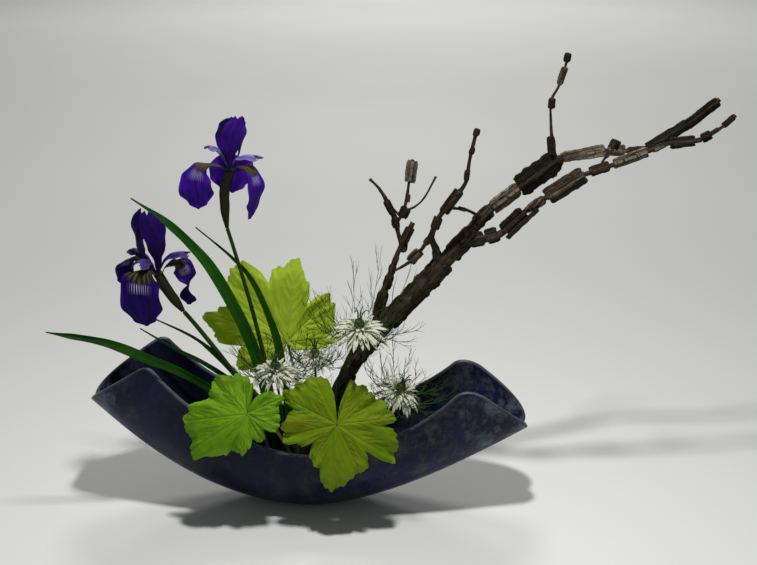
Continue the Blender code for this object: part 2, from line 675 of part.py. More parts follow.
# Each leaf: where blade meets stalk, where the middle lobe points, which way it faces (all mm), its
# outline as (angle in degrees from the middle lobe, reach in mm), its droop and its stalk's route.
CORAL_LEAVES = {
    "coral_leaf_left": {
        "joint": (-38, -60, 110),
        "tip": (-0.72, -0.16, -0.68),
        "face": (-0.1, -0.93, 0.36),
        "outline": [
            (-150, 8), (-143, 25), (-128, 30), (-115, 33), (-104, 34), (-92, 40.5), (-84, 38), (-70, 35),
            (-61, 36), (-48, 49), (-33, 55), (-24, 53), (-12, 56.5), (-3, 59.5), (4, 48), (9, 43),
            (17, 40), (22, 32), (37, 34), (50, 28), (57, 21), (76, 25), (95, 18), (107, 27),
            (120, 27), (149, 25), (161, 31.5), (180, 26), (198, 17), (208, 8),
        ],
        "droop": 0.1,
        "stalk": [(-10, -13, 22.3), (-11, -24, 56), (-18, -40, 86), (-30, -53, 105), (-37.2, -57.8, 109)],
    },
    "coral_leaf_centre": {
        "joint": (33.6, -60, 102),
        "tip": (-0.03, -0.26, -0.97),
        "face": (0.05, -0.95, 0.28),
        "outline": [
            (-174, 14), (-171, 27), (-165, 35.5), (-154, 42), (-142, 43), (-130, 45), (-117, 49),
            (-111, 47), (-106, 36), (-99, 39), (-89, 44), (-78, 44), (-65, 45.5), (-60, 36), (-55, 33),
            (-50, 24), (-42, 31), (-34, 37), (-20, 39), (-14, 49), (-6, 54), (-2, 57), (6, 51),
            (15, 48.5), (22, 43), (33, 45), (44, 37), (48, 33), (53, 49), (57, 57), (66, 52), (77, 51),
            (85, 45), (90, 39), (94, 47), (109, 43), (127, 37), (146, 37), (158, 35.5), (165, 36),
            (170, 24), (174, 14),
        ],
        "droop": 0.12,
        "stalk": [(15, -12, 22.3), (18, -24, 54), (25, -40, 80), (32, -53, 98), (33.4, -58.0, 101)],
    },
    "coral_leaf_back": {
        "joint": (-20, 62, 120),
        "tip": (-0.3, 0.18, 0.93),
        "face": (0.1, -0.96, 0.2),
        "outline": [
            (-150, 9), (-136, 14), (-122, 25), (-114, 37), (-105, 46), (-98, 48.5), (-84, 45.5),
            (-76, 52), (-65, 56), (-58, 59), (-52, 51), (-46, 41), (-42, 50), (-37, 58), (-31, 67),
            (-26, 75), (-20, 74), (-14, 70), (-8, 66), (-2, 57), (2, 70), (6, 76), (10, 83), (14, 86),
            (18, 83), (22, 77), (27, 74), (32, 77), (36, 66), (39, 61), (43, 67), (47, 71), (51, 77),
            (58, 72), (66, 63), (72, 59), (77, 41), (84, 43), (94, 49), (102, 47.5), (112, 42),
            (118, 35), (127, 25), (150, 20),
        ],
        "droop": -0.1,
        "stalk": [(2, 15, 22.3), (-3, 28, 54), (-9, 46, 86), (-16, 61, 106), (-19.2, 65, 117.6)],
    },
}


def coral_leaf(name, plan):
    tip = Vector(plan["tip"]).normalized()
    side = Vector(plan["face"]).cross(tip).normalized()
    face = tip.cross(side).normalized()
    outline = plan["outline"]
    first, last = outline[0][0], outline[-1][0]
    length = max(reach for _, reach in outline) * MM

    def place(s, t):
        angle = first + (last - first) * (s + 1) / 2
        share = (t + 1) / 2
        reach = BLADE_HOLE + (along(outline, angle) * MM - BLADE_HOLE) * share
        turn = math.radians(angle)
        bend = -plan["droop"] * reach * reach / length
        crease = 0.035 * reach * math.cos(turn * 7.5)
        return Vector((math.cos(turn) * reach, math.sin(turn) * reach, bend + crease))

    blade = sheet(f"{name}_blade", 84, 3, place, LEAF_THICKNESS, LIME)
    blade.location = Vector(plan["joint"]) * MM
    blade.rotation_euler = Matrix((tip, side, face)).transposed().to_euler()
    stalk(f"{name}_stalk", plan["stalk"], [1.5, 1.3, 1.1], LIME_STALK)


# ---------------------------------------------------------------- love-in-a-mist

# Each flower: where its petals spring from (mm), its lean (degrees), its radius (mm) and its stalk.
MIST_FLOWERS = {
    "mist_upper": {
        "base": (50, -36, 172.5),
        "turn": (8, 4, 0),
        "radius": 26,
        "stalk": [(21, -5, 22.3), (25, -13, 70), (33, -25, 124), (42, -33, 150), (49.6, -35.4, 166.8)],
    },
    "mist_left": {
        "base": (-17.6, -33, 133.5),
        "turn": (6, -2, 20),
        "radius": 21,
        "stalk": [(-18.5, -14, 22.3), (-14, -20, 66), (-15, -28, 104), (-17.4, -32.6, 128)],
    },
    "mist_right": {
        "base": (81.5, -32, 117),
        "turn": (24, 6, 40),
        "radius": 21,
        "stalk": [(26, -11, 22.3), (40, -16, 62), (62, -22, 92), (76, -28, 107), (80.8, -29.6, 112)],
    },
    "mist_rear": {
        "base": (8, 32, 116),
        "turn": (-6, 0, 10),
        "radius": 17,
        "stalk": [(6, 16.4, 22.3), (9, 23, 52), (9, 29, 84), (8.2, 31.5, 110.4)],
    },
}
PETALS = 11


def hub(sides, radius, height, lift):
    bm = bmesh.new()
    bmesh.ops.create_cone(
        bm,
        cap_ends=True,
        segments=sides,
        radius1=radius,
        radius2=radius,
        depth=height,
        matrix=Matrix.Translation((0, 0, lift)),
    )
    return bm


def draw_out(bm, face, stations):
    """Draws a hub's side face out into an arm: stations as (reach, half width, height, half thickness)."""
    outward = face.calc_center_median()
    outward.z = 0
    outward.normalize()
    side = Vector((-outward.y, outward.x, 0))
    for reach, half_width, height, half_thickness in stations:
        face = bmesh.ops.extrude_discrete_faces(bm, faces=[face])["faces"][0]
        middle = face.calc_center_median()
        for vert in face.verts:
            left = math.copysign(half_width, (vert.co - middle).dot(side))
            over = math.copysign(half_thickness, vert.co.z - middle.z)
            vert.co = outward * reach + side * left + Vector((0, 0, height + over))


def arms(bm, stations_of):
    """Draws each upright side face out into an arm, with stations_of(number) in mm."""
    sides = sorted(
        (face for face in bm.faces if abs(face.normal.z) < 0.5),
        key=lambda face: math.atan2(face.calc_center_median().y, face.calc_center_median().x),
    )
    for number, face in enumerate(sides):
        draw_out(bm, face, [tuple(value * MM for value in station) for station in stations_of(number)])


def build_mist_flower(name, plan):
    flower = stand(f"{name}_flower", Vector(plan["base"]) * MM, [math.radians(a) for a in plan["turn"]])
    radius = plan["radius"]

    def petal_stations(number):
        reach = radius * (1.0 if number % 2 else 0.88)
        droop = 3.5 + 2.5 * (number % 3)
        return [
            (reach * 0.35, 1.6, 1.4, 0.35),
            (reach * 0.7, radius * 0.12, 1.2 - droop * 0.4, 0.35),
            (reach, 0.5, -droop, 0.3),
        ]

    def thread_stations(number):
        reach = radius * (1.2 if number % 2 else 0.95)
        rise = 16 if number % 2 else 5
        return [
            (reach * 0.45, 0.4, -5.2, 0.35),
            (reach, 0.25, rise, 0.3),
        ]

    ring = hub(PETALS, 3.0 * MM, 1.2 * MM, 1.2 * MM)
    arms(ring, petal_stations)
    new_mesh_object(f"{name}_petals", ring, WHITE, flower)
    collar = hub(PETALS, 2.6 * MM, 1.6 * MM, -3.8 * MM)
    between = Matrix.Rotation(math.pi / PETALS, 3, "Z")
    bmesh.ops.rotate(collar, matrix=between, verts=collar.verts)
    arms(collar, thread_stations)
    new_mesh_object(f"{name}_bracts", collar, MIST, flower)
    capsule = hub(8, 3.2 * MM, 4.0 * MM, 4.2 * MM)
    top = max(capsule.faces, key=lambda face: face.calc_center_median().z)
    for height, share in ((8, 1.25), (11.5, 0.6), (17, 0.3)):
        top = bmesh.ops.extrude_discrete_faces(capsule, faces=[top])["faces"][0]
        for vert in top.verts:
            out = Vector((vert.co.x, vert.co.y, 0)).normalized()
            vert.co = out * 3.2 * share * MM + Vector((0, 0, height * MM))
    new_mesh_object(f"{name}_seed_head", capsule, POD, flower)
    stalk(f"{name}_stalk", plan["stalk"], [1.1, 1.1, 1.0], MIST)


# ---------------------------------------------------------------- the arrangement


def stem_feet():
    """Everything that stands on the pin holder: its foot, its plan at the pins' tips and its radius."""
    trunks = (MAIN_LIMBS["trunk"], SIDE_LIMBS["stem"])
    stems = [(foot[:3], above[:3], collar[3]) for foot, collar, above, *_ in trunks]
    stems += [(*iris["stalk"][:2], iris["stalk_radii"][0]) for iris in (TALL_IRIS, LOW_IRIS)]
    stems += [(*midline[:2], widths[0][1]) for midline, widths in SWORD_LEAVES.values()]
    stems += [(*plan["stalk"][:2], 1.5) for plan in CORAL_LEAVES.values()]
    stems += [(*plan["stalk"][:2], 1.1) for plan in MIST_FLOWERS.values()]
    feet = []
    for foot, next_point, radius in stems:
        foot, next_point = Vector(foot) * MM, Vector(next_point) * MM
        above = foot.lerp(next_point, PIN_HEIGHT / (next_point.z - foot.z))
        feet.append((foot.xy, above.xy, radius * MM))
    return feet


build_bowl()
build_kenzan(stem_feet())
build_branch("main_branch", MAIN_LIMBS, MAIN_WINGS)
build_branch("side_branch", SIDE_LIMBS, SIDE_WINGS)
build_iris("tall_iris", TALL_IRIS)
build_iris("low_iris", LOW_IRIS)
for leaf, (midline, widths) in SWORD_LEAVES.items():
    sword_leaf(leaf, midline, widths)
for leaf, plan in CORAL_LEAVES.items():
    coral_leaf(leaf, plan)
for flower_name, plan in MIST_FLOWERS.items():
    build_mist_flower(flower_name, plan)
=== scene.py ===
"""The ikebana arrangement as it looks: a glazed slab bowl, a pin holder, winged spindle branches,
two irises with their sword leaves, three coral-bell leaves and four love-in-a-mist flowers.

Metres, +Z up, +X along the bowl towards the branch's tip, -Y towards the viewer.
Routes and sizes are in millimetres, and MM turns them into metres.
"""

import math
import random

import bmesh
import bpy
from mathutils import Matrix, Vector, noise


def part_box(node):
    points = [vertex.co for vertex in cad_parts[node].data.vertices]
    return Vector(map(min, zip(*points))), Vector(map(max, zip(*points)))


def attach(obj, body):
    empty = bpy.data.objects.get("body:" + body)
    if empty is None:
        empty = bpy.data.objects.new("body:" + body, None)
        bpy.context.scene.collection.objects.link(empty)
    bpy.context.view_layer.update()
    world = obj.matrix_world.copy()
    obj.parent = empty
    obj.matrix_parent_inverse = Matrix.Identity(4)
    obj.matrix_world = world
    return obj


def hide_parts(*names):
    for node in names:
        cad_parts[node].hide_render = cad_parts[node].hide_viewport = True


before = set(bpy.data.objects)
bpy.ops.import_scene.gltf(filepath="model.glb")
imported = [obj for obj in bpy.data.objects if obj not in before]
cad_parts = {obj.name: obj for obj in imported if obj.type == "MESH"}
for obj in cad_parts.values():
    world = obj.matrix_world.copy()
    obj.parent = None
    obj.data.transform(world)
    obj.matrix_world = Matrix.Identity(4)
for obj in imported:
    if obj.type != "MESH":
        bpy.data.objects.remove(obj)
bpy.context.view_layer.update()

MM = 0.001
UP = Vector((0, 0, 1))

# ---------------------------------------------------------------- camera, floor and light

VIEW_AZIMUTH = math.radians(2)
VIEW_ELEVATION = math.radians(20)
VIEW_DISTANCE = 0.9
VIEW_TARGET = Vector((0.0645, 0, 0.2007))
LENS, SENSOR = 52.6, 36


def place_camera():
    level = math.cos(VIEW_ELEVATION)
    back = Vector((math.sin(VIEW_AZIMUTH) * level, -math.cos(VIEW_AZIMUTH) * level, math.sin(VIEW_ELEVATION)))
    camera = bpy.data.objects.new("camera", bpy.data.cameras.new("camera"))
    camera.data.lens = LENS
    camera.data.sensor_width = SENSOR
    camera.data.clip_start = 0.02
    camera.location = VIEW_TARGET + back * VIEW_DISTANCE
    camera.rotation_euler = back.to_track_quat("Z", "Y").to_euler()
    bpy.context.scene.collection.objects.link(camera)
    bpy.context.scene.camera = camera


FLOOR_RADIUS = 14
SKY = (0.93, 0.97, 0.95)
SKY_STRENGTH = 0.13
# The lamps, which all point down, as (place, size in metres, watts): one high in front, and two
# large soft ones behind, the second of which is for the floor farther back.
LAMPS = [
    ((0.08, -0.2, 0.85), 0.07, 4.8),
    ((0.0, 1.2, 1.7), 0.7, 10.0),
    ((0.1, 4.0, 2.6), 2.0, 56.0),
]
LAMP_COLOUR = (1, 0.985, 0.96)


def light_the_table():
    world = bpy.data.worlds.new("studio")
    world.use_nodes = True
    world.node_tree.nodes["Background"].inputs["Color"].default_value = (*SKY, 1)
    world.node_tree.nodes["Background"].inputs["Strength"].default_value = SKY_STRENGTH
    bpy.context.scene.world = world
    for place, size, watts in LAMPS:
        lamp = bpy.data.objects.new("lamp", bpy.data.lights.new("lamp", "AREA"))
        lamp.data.shape = "DISK"
        lamp.data.size = size
        lamp.data.energy = watts
        lamp.data.color = LAMP_COLOUR
        lamp.location = place
        bpy.context.scene.collection.objects.link(lamp)
    bm = bmesh.new()
    bmesh.ops.create_circle(bm, cap_ends=True, segments=96, radius=FLOOR_RADIUS)
    mesh = bpy.data.meshes.new("floor")
    bm.to_mesh(mesh)
    bm.free()
    floor = bpy.data.objects.new("floor", mesh)
    mesh.materials.append(pale_floor())
    bpy.context.scene.collection.objects.link(floor)
    bpy.context.scene.view_settings.view_transform = "Standard"


# ---------------------------------------------------------------- finishes


class Finish:
    """A material, whose nodes are laid out by short calls."""

    def __init__(self, name):
        self.material = bpy.data.materials.new(name)
        self.material.use_nodes = True
        self.tree = self.material.node_tree
        self.shader = self.tree.nodes["Principled BSDF"]

    def node(self, kind, sockets, out=0, **settings):
        """A new node with its sockets fed, by name or number, from numbers, colours or other outputs."""
        node = self.tree.nodes.new(kind)
        for setting, value in settings.items():
            setattr(node, setting, value)
        for socket, value in sockets.items():
            self.feed(node.inputs[socket], value)
        return node.outputs[out]

    def feed(self, socket, value):
        if isinstance(value, bpy.types.NodeSocket):
            self.tree.links.new(value, socket)
        elif isinstance(value, tuple) and len(value) == 3 and socket.type == "RGBA":
            socket.default_value = (*value, 1)
        else:
            socket.default_value = value

    def set(self, **sockets):
        """Feeds the shader: base_color=... is its Base Color."""
        for name, value in sockets.items():
            wanted = name.replace("_", " ").lower()
            socket = next(s for s in self.shader.inputs if s.name.lower() == wanted)
            self.feed(socket, value)
        return self

    def place(self):
        return self.node("ShaderNodeTexCoord", {}, "Object")

    def uv(self, part=None):
        """The piece's own UV map, or one number of it: 0 is its share across, 1 its share along."""
        found = self.node("ShaderNodeUVMap", {})
        return found if part is None else self.one_of(found, part)

    def one_of(self, vector, part):
        """One number of a vector: 0 is X, 1 is Y and 2 is Z."""
        return self.node("ShaderNodeSeparateXYZ", {0: vector}, part)

    def mark(self, name):
        """A number painted on the mesh."""
        return self.node("ShaderNodeAttribute", {}, "Fac", attribute_name=name)

    def stretch(self, vector, x, y, z):
        return self.node("ShaderNodeMapping", {"Vector": vector, "Scale": (x, y, z)})

    def cloud(self, vector, scale, detail, roughness=0.55, distortion=0.0):
        sockets = {"Vector": vector, "Scale": scale, "Detail": detail}
        sockets.update({"Roughness": roughness, "Distortion": distortion})
        return self.node("ShaderNodeTexNoise", sockets)

    def cells(self, vector, scale, feature="F1"):
        return self.node("ShaderNodeTexVoronoi", {"Vector": vector, "Scale": scale}, 0, feature=feature)

    def lines(self, vector, count, waver):
        """Lines across the vector's X: about count of them for each unit."""
        sockets = {"Vector": vector, "Scale": count * math.tau / 20, "Distortion": waver, "Detail": 2.0}
        return self.node("ShaderNodeTexWave", sockets, "Fac", bands_direction="X")

    def ramp(self, value, *stops):
        """A blend through (position, colour or number) stops."""
        node = self.tree.nodes.new("ShaderNodeValToRGB")
        self.feed(node.inputs[0], value)
        elements = node.color_ramp.elements
        while len(elements) < len(stops):
            elements.new(0.5)
        for element, (position, colour) in zip(elements, stops):
            element.position = position
            colour = colour if isinstance(colour, tuple) else (colour,) * 3
            element.color = (*colour, 1)
        return node.outputs[0]

    def mix(self, share, a, b):
        return self.node("ShaderNodeMix", {0: share, 6: a, 7: b}, 2, data_type="RGBA")

    def calc(self, how, a, b=0.0):
        return self.node("ShaderNodeMath", {0: a, 1: b}, 0, operation=how)

    def times(self, a, b):
        return self.calc("MULTIPLY", a, b)

    def distance(self, value, middle):
        """How far a value is from the middle, on either side."""
        return self.calc("ABSOLUTE", self.calc("SUBTRACT", value, middle))

    def scaled(self, value, by, plus):
        return self.node("ShaderNodeMath", {0: value, 1: by, 2: plus}, 0, operation="MULTIPLY_ADD")

    def relief(self, height, distance, strength, under=None):
        sockets = {"Height": height, "Distance": distance * MM, "Strength": strength}
        if under is not None:
            sockets["Normal"] = under
        return self.node("ShaderNodeBump", sockets)

    def let_light_through(self, share, colour):
        """Thin living tissue glows when it is lit from behind."""
        glow = self.node("ShaderNodeBsdfTranslucent", {"Color": colour})
        both = self.node("ShaderNodeMixShader", {0: share, 1: self.shader.outputs[0], 2: glow})
        self.tree.links.new(both, self.tree.nodes["Material Output"].inputs["Surface"])
        return self


def shaded(colour, by):
    return tuple(min(1.0, c * by) for c in colour)


def pale_floor():
    f = Finish("pale_floor")
    tone = f.cloud(f.place(), 1.1, 2.0)
    f.set(base_color=f.ramp(tone, (0.3, (0.81, 0.82, 0.8)), (0.7, (0.85, 0.86, 0.85))), roughness=0.7)
    return f.set(specular_ior_level=0.2).material


def blue_black_glaze():
    """A dark stoneware glaze: navy with indigo clouds, mottled grey towards the right, thin on the edges."""
    f = Finish("blue_black_glaze")
    place = f.place()
    drift = f.cloud(place, 13, 4.0, 0.6, 0.6)
    fine = f.cloud(place, 130, 5.0, 0.65)
    navy, indigo, violet = (0.005, 0.007, 0.02), (0.009, 0.011, 0.038), (0.018, 0.02, 0.078)
    pooled = f.ramp(drift, (0.34, navy), (0.5, indigo), (0.68, violet))
    pooled = f.mix(f.ramp(fine, (0.4, 0.0), (0.75, 0.5)), pooled, (0.02, 0.024, 0.04))
    east = f.ramp(f.scaled(f.one_of(place, 0), 4.0, 0.5), (0.3, 0.0), (0.95, 1.0))
    patches = f.cloud(f.stretch(place, 1.0, 1.0, 0.7), 62, 8.0, 0.75, 0.5)
    patches = f.ramp(patches, (0.46, 0.0), (0.62, 1.0))
    mottled = f.times(patches, f.scaled(east, 0.85, 0.12))
    body = f.mix(mottled, pooled, f.ramp(fine, (0.32, (0.016, 0.02, 0.026)), (0.68, (0.08, 0.085, 0.078))))
    # Blue-grey clouds on the two ends.
    ends = f.scaled(f.distance(f.one_of(place, 0), -0.003), 20.0, -2.2)
    ends = f.times(f.ramp(ends, (0.35, 0.0), (0.95, 0.9)), patches)
    body = f.mix(ends, body, f.ramp(fine, (0.3, (0.045, 0.06, 0.095)), (0.7, (0.13, 0.16, 0.22))))
    specks = f.ramp(f.cells(place, 420), (0.06, 1.0), (0.14, 0.0))
    specks = f.times(specks, f.ramp(f.cloud(place, 60, 2.0), (0.52, 0.0), (0.6, 0.5)))
    body = f.mix(specks, body, (0.075, 0.07, 0.06))
    # The glaze thins to a grey line on the edges of the slab.
    edge = f.calc("ADD", f.mark("edge"), f.scaled(fine, 0.3, -0.15))
    thinned = f.ramp(edge, (0.5, 0.0), (0.9, 1.0))
    body = f.mix(thinned, body, f.ramp(drift, (0.35, (0.035, 0.042, 0.055)), (0.65, (0.1, 0.115, 0.14))))
    # Bare clay under the foot.
    height = f.calc("ADD", f.one_of(place, 2), f.times(f.cloud(place, 45, 3.0), 0.0035))
    bare = f.ramp(f.times(height, 100.0), (0.33, 1.0), (0.42, 0.0))
    body = f.mix(bare, body, f.ramp(fine, (0.3, (0.12, 0.05, 0.028)), (0.7, (0.19, 0.09, 0.05))))
    gloss = f.calc("ADD", f.times(bare, 0.4), f.ramp(fine, (0.3, 0.26), (0.75, 0.46)))
    pits = f.ramp(f.cells(place, 260), (0.05, 0.0), (0.2, 1.0))
    waves = f.relief(f.cloud(place, 30, 3.0), 1.6, 0.35)
    f.set(base_color=body, roughness=gloss, normal=f.relief(pits, 0.25, 0.25, waves))
    return f.set(specular_ior_level=0.1).material


def cast_lead():
    f = Finish("cast_lead")
    grain = f.cloud(f.place(), 180, 5.0)
    f.set(base_color=f.ramp(grain, (0.35, (0.05, 0.052, 0.05)), (0.7, (0.16, 0.16, 0.15))))
    f.set(roughness=f.ramp(grain, (0.3, 0.38), (0.7, 0.62)), normal=f.relief(grain, 0.25, 0.5))
    return f.set(metallic=0.8).material


def brass_pins():
    f = Finish("brass_pins")
    tarnish = f.cloud(f.place(), 90, 4.0)
    f.set(base_color=f.ramp(tarnish, (0.35, (0.24, 0.15, 0.05)), (0.65, (0.52, 0.38, 0.15))))
    return f.set(roughness=f.ramp(tarnish, (0.3, 0.42), (0.7, 0.25)), metallic=0.9).material


def corky_bark(name, dark, middle, pale):
    """Cork with lengthwise striations. The mark "tone" runs from dark to pale plates."""
    f = Finish(name)
    place = f.place()
    coarse = f.cloud(place, 150, 5.0, 0.65)
    along = f.stretch(f.uv(), 1.0, 0.13, 1.0)
    strands = f.cloud(along, 9, 4.0, 0.6)
    tone = f.calc("ADD", f.mark("tone"), f.scaled(strands, 0.9, -0.45))
    tone = f.calc("ADD", tone, f.scaled(coarse, 0.3, -0.15))
    colour = f.ramp(tone, (0.12, dark), (0.5, middle), (0.95, pale))
    cracks = f.cells(f.stretch(f.uv(), 1.0, 0.4, 1.0), 3.4, "DISTANCE_TO_EDGE")
    cracks = f.ramp(cracks, (0.0, 0.0), (0.045, 1.0))
    # The cracks are painted nearly black: painted shade down in them.
    colour = f.mix(cracks, shaded(dark, 0.4), colour)
    height = f.calc("ADD", strands, f.times(cracks, 0.35))
    bumps = f.relief(height, 0.7, 0.75)
    f.set(base_color=colour, roughness=f.ramp(coarse, (0.3, 0.72), (0.7, 0.95)))
    return f.set(normal=f.relief(coarse, 0.35, 0.6, bumps), specular_ior_level=0.1).material


def living_green(name, deep, light, roughness, ribs, glow=0.0, base=None):
    """A ribbed stalk or blade, whose ribs run along its own map. It can be paler at its base."""
    f = Finish(name)
    ribbing = f.lines(f.uv(), ribs, 0.6)
    patches = f.cloud(f.place(), 32, 4.0)
    colour = f.ramp(patches, (0.32, deep), (0.68, light))
    colour = f.mix(f.times(ribbing, 0.35), colour, shaded(deep, 0.45))
    if base is not None:
        colour = f.mix(f.ramp(f.uv(1), (0.0, 1.0), (0.22, 0.0)), colour, base)
    fine = f.cloud(f.place(), 420, 3.0)
    f.set(base_color=colour, roughness=f.ramp(fine, (0.3, roughness - 0.08), (0.7, roughness + 0.1)))
    f.set(normal=f.relief(f.calc("ADD", ribbing, f.times(fine, 0.3)), 0.12, 0.5))
    f.set(specular_ior_level=0.12)
    if glow:
        f.let_light_through(glow, shaded(light, 1.9))
    return f.material


def iris_petal(name, deep, light, edge, haft=None, signal=None, glow=0.3):
    """Violet tissue with fine darker veins. A fall also has an olive haft and short white rays below it."""
    f = Finish(name)
    across, along = f.uv(0), f.uv(1)
    uv = f.uv()
    veins = f.lines(uv, 19, 1.6)
    thin_veins = f.ramp(veins, (0.0, 1.0), (0.3, 0.0))
    cloudy = f.cloud(f.stretch(uv, 3.0, 1.6, 1.0), 2.6, 4.0)
    colour = f.ramp(cloudy, (0.3, deep), (0.72, light))
    off = f.distance(across, 0.5)
    colour = f.mix(f.ramp(off, (0.38, 0.0), (0.5, 0.6)), colour, edge)
    colour = f.mix(f.times(thin_veins, 0.4), colour, shaded(deep, 0.4))
    if signal is not None:
        start, end = signal
        window = f.ramp(along, (start - 0.03, 0.0), (start, 1.0), ((start + end) / 2, 0.7), (end, 0.0))
        rays = f.ramp(f.lines(uv, 17, 1.6), (0.62, 0.0), (0.8, 1.0))
        narrow = f.ramp(off, (0.12, 1.0), (0.32, 0.0))
        rays = f.times(f.times(window, rays), narrow)
        colour = f.mix(rays, colour, (0.7, 0.68, 0.8))
    if haft is not None:
        start, end = haft
        net = f.ramp(f.lines(uv, 7, 2.0), (0.3, (0.026, 0.021, 0.01)), (0.75, (0.115, 0.095, 0.03)))
        net = f.mix(f.ramp(off, (0.34, 0.0), (0.5, 0.8)), net, (0.03, 0.016, 0.03))
        wander = f.calc("ADD", along, f.times(f.calc("SUBTRACT", off, 0.15), 0.2))
        colour = f.mix(f.ramp(wander, (start, 1.0), (end, 0.0)), colour, net)
    fine = f.cloud(f.place(), 700, 2.0)
    f.set(base_color=colour, roughness=f.ramp(fine, (0.3, 0.5), (0.7, 0.68)))
    f.set(normal=f.relief(f.calc("ADD", veins, f.times(fine, 0.4)), 0.14, 0.45))
    f.set(specular_ior_level=0.13)
    return f.let_light_through(glow, f.mix(0.5, colour, edge)).material


def style_petal(name, pale, rib, violet):
    """The lavender arms over the falls: nearly white along the middle."""
    f = Finish(name)
    off = f.distance(f.uv(0), 0.5)
    colour = f.ramp(off, (0.0, rib), (0.1, pale), (0.34, violet), (0.48, pale))
    veins = f.lines(f.uv(), 13, 1.5)
    colour = f.mix(f.times(f.ramp(veins, (0.0, 1.0), (0.3, 0.0)), 0.5), colour, violet)
    f.set(base_color=colour, roughness=0.5, normal=f.relief(veins, 0.1, 0.5))
    f.set(specular_ior_level=0.15)
    return f.let_light_through(0.3, pale).material


def lime_leaf(name, deep, light, flush, vein):
    """A coral-bell leaf. The marks "vein" and "flush" are painted on its mesh."""
    f = Finish(name)
    place = f.place()
    veins = f.mark("vein")
    patches = f.cloud(place, 45, 6.0, 0.65)
    mesh = f.ramp(f.cells(place, 300, "DISTANCE_TO_EDGE"), (0.0, 1.0), (0.1, 0.0))
    colour = f.ramp(patches, (0.32, deep), (0.68, light))
    colour = f.mix(f.times(f.mark("flush"), f.ramp(patches, (0.3, 0.5), (0.65, 1.0))), colour, flush)
    colour = f.mix(f.times(mesh, 0.18), colour, shaded(deep, 0.6))
    colour = f.mix(f.times(veins, 0.45), colour, vein)
    fine = f.cloud(place, 520, 3.0)
    quilt = f.relief(f.cells(place, 300), 0.35, 0.4)
    f.set(base_color=colour, roughness=f.ramp(fine, (0.3, 0.5), (0.7, 0.7)))
    f.set(normal=f.relief(fine, 0.2, 0.35, quilt), specular_ior_level=0.18)
    return f.let_light_through(0.36, f.mix(0.5, colour, shaded(light, 1.6))).material


def white_petal():
    f = Finish("white_petal")
    uv = f.uv()
    veins = f.ramp(f.lines(uv, 5, 1.0), (0.0, 1.0), (0.4, 0.0))
    claw, cream, white = (0.26, 0.34, 0.15), (0.66, 0.69, 0.52), (0.8, 0.81, 0.68)
    colour = f.ramp(f.uv(1), (0.0, claw), (0.3, cream), (0.6, white))
    colour = f.mix(f.times(veins, 0.35), colour, (0.34, 0.4, 0.27))
    tip = f.ramp(f.uv(1), (0.84, 0.0), (1.0, 0.55))
    colour = f.mix(tip, colour, (0.34, 0.38, 0.2))
    f.set(base_color=colour, roughness=0.6, normal=f.relief(f.lines(uv, 5, 1.0), 0.1, 0.5))
    f.set(specular_ior_level=0.15)
    return f.let_light_through(0.25, (0.72, 0.75, 0.62)).material


# ---------------------------------------------------------------- curves and mesh helpers


def through(points, per_span):
    """A smooth curve through the points, as Catmull-Rom spans of per_span steps each."""
    points = [Vector(p) for p in points]
    ends = [points[0] * 2 - points[1], *points, points[-1] * 2 - points[-2]]
    found = []
    for a, b, c, d in zip(ends, ends[1:], ends[2:], ends[3:]):
        for step in range(per_span):
            t = step / per_span
            curve = (c - a) * t + (a * 2 - b * 5 + c * 4 - d) * t**2 + (b * 3 - a - c * 3 + d) * t**3
            found.append(b + curve / 2)
    return [*found, points[-1]]


def eased(t):
    t = max(0.0, min(1.0, t))
    return t * t * (3 - 2 * t)


def along(stations, t):
    """The value at t of a list of (t, value) stations, eased between them."""
    for (t0, a), (t1, b) in zip(stations, stations[1:]):
        if t <= t1:
            return a + (b - a) * eased((t - t0) / (t1 - t0))
    return stations[-1][1]


def between(values, t):
    """The value at t of numbers that stand evenly along a piece."""
    at = t * (len(values) - 1)
    low = min(int(at), len(values) - 2)
    return values[low] + (values[low + 1] - values[low]) * (at - low)


def on_line(line, t):
    """The point at t of a line and its direction there, with the step below t and the share past it."""
    last = len(line) - 1
    low = min(int(t * last), last - 1)
    share = t * last - low
    forward = (line[min(low + 2, last)] - line[max(low - 1, 0)]).normalized()
    return line[low].lerp(line[low + 1], share), forward, low, share


class Route:
    """A smooth line through points in mm, with a frame carried along it without turning."""

    def __init__(self, points, per_span=6):
        self.line = through([Vector(p[:3]) * MM for p in points], per_span)
        self.length = sum((b - a).length for a, b in zip(self.line, self.line[1:])) / MM
        side = (self.line[1] - self.line[0]).orthogonal()
        self.sides = []
        for a, b in zip(self.line, self.line[1:]):
            forward = (b - a).normalized()
            side = (side - forward * side.dot(forward)).normalized()
            self.sides.append(side)

    def at(self, t):
        """The point at t, with the line's direction and two more at right angles to it."""
        point, forward, low, share = on_line(self.line, t)
        side = self.sides[low].lerp(self.sides[min(low + 1, len(self.sides) - 1)], share)
        side = (side - forward * side.dot(forward)).normalized()
        return point, forward, side, forward.cross(side)


def grid(columns, rows, place, marks=(), size=None):
    """A sheet with its UV map: place(s, t) for s across and t along, 0 to 1. marks are (name, value(s, t)).

    The map runs from 0 to 1, or over the sheet's size in centimetres if its size in mm is given.
    """
    bm = bmesh.new()
    uv = bm.loops.layers.uv.new("UVMap")
    layers = [(bm.verts.layers.float.new(name), value) for name, value in marks]
    bmesh.ops.create_grid(bm, x_segments=columns, y_segments=rows, size=0.5, calc_uvs=True)
    for vert in bm.verts:
        s, t = vert.co.x + 0.5, vert.co.y + 0.5
        for layer, value in layers:
            vert[layer] = value(s, t)
        vert.co = place(s, t)
    if size is not None:
        for face in bm.faces:
            for loop in face.loops:
                across, forward = loop[uv].uv
                loop[uv].uv = (across * size[0] / 10, forward * size[1] / 10)
    return bm


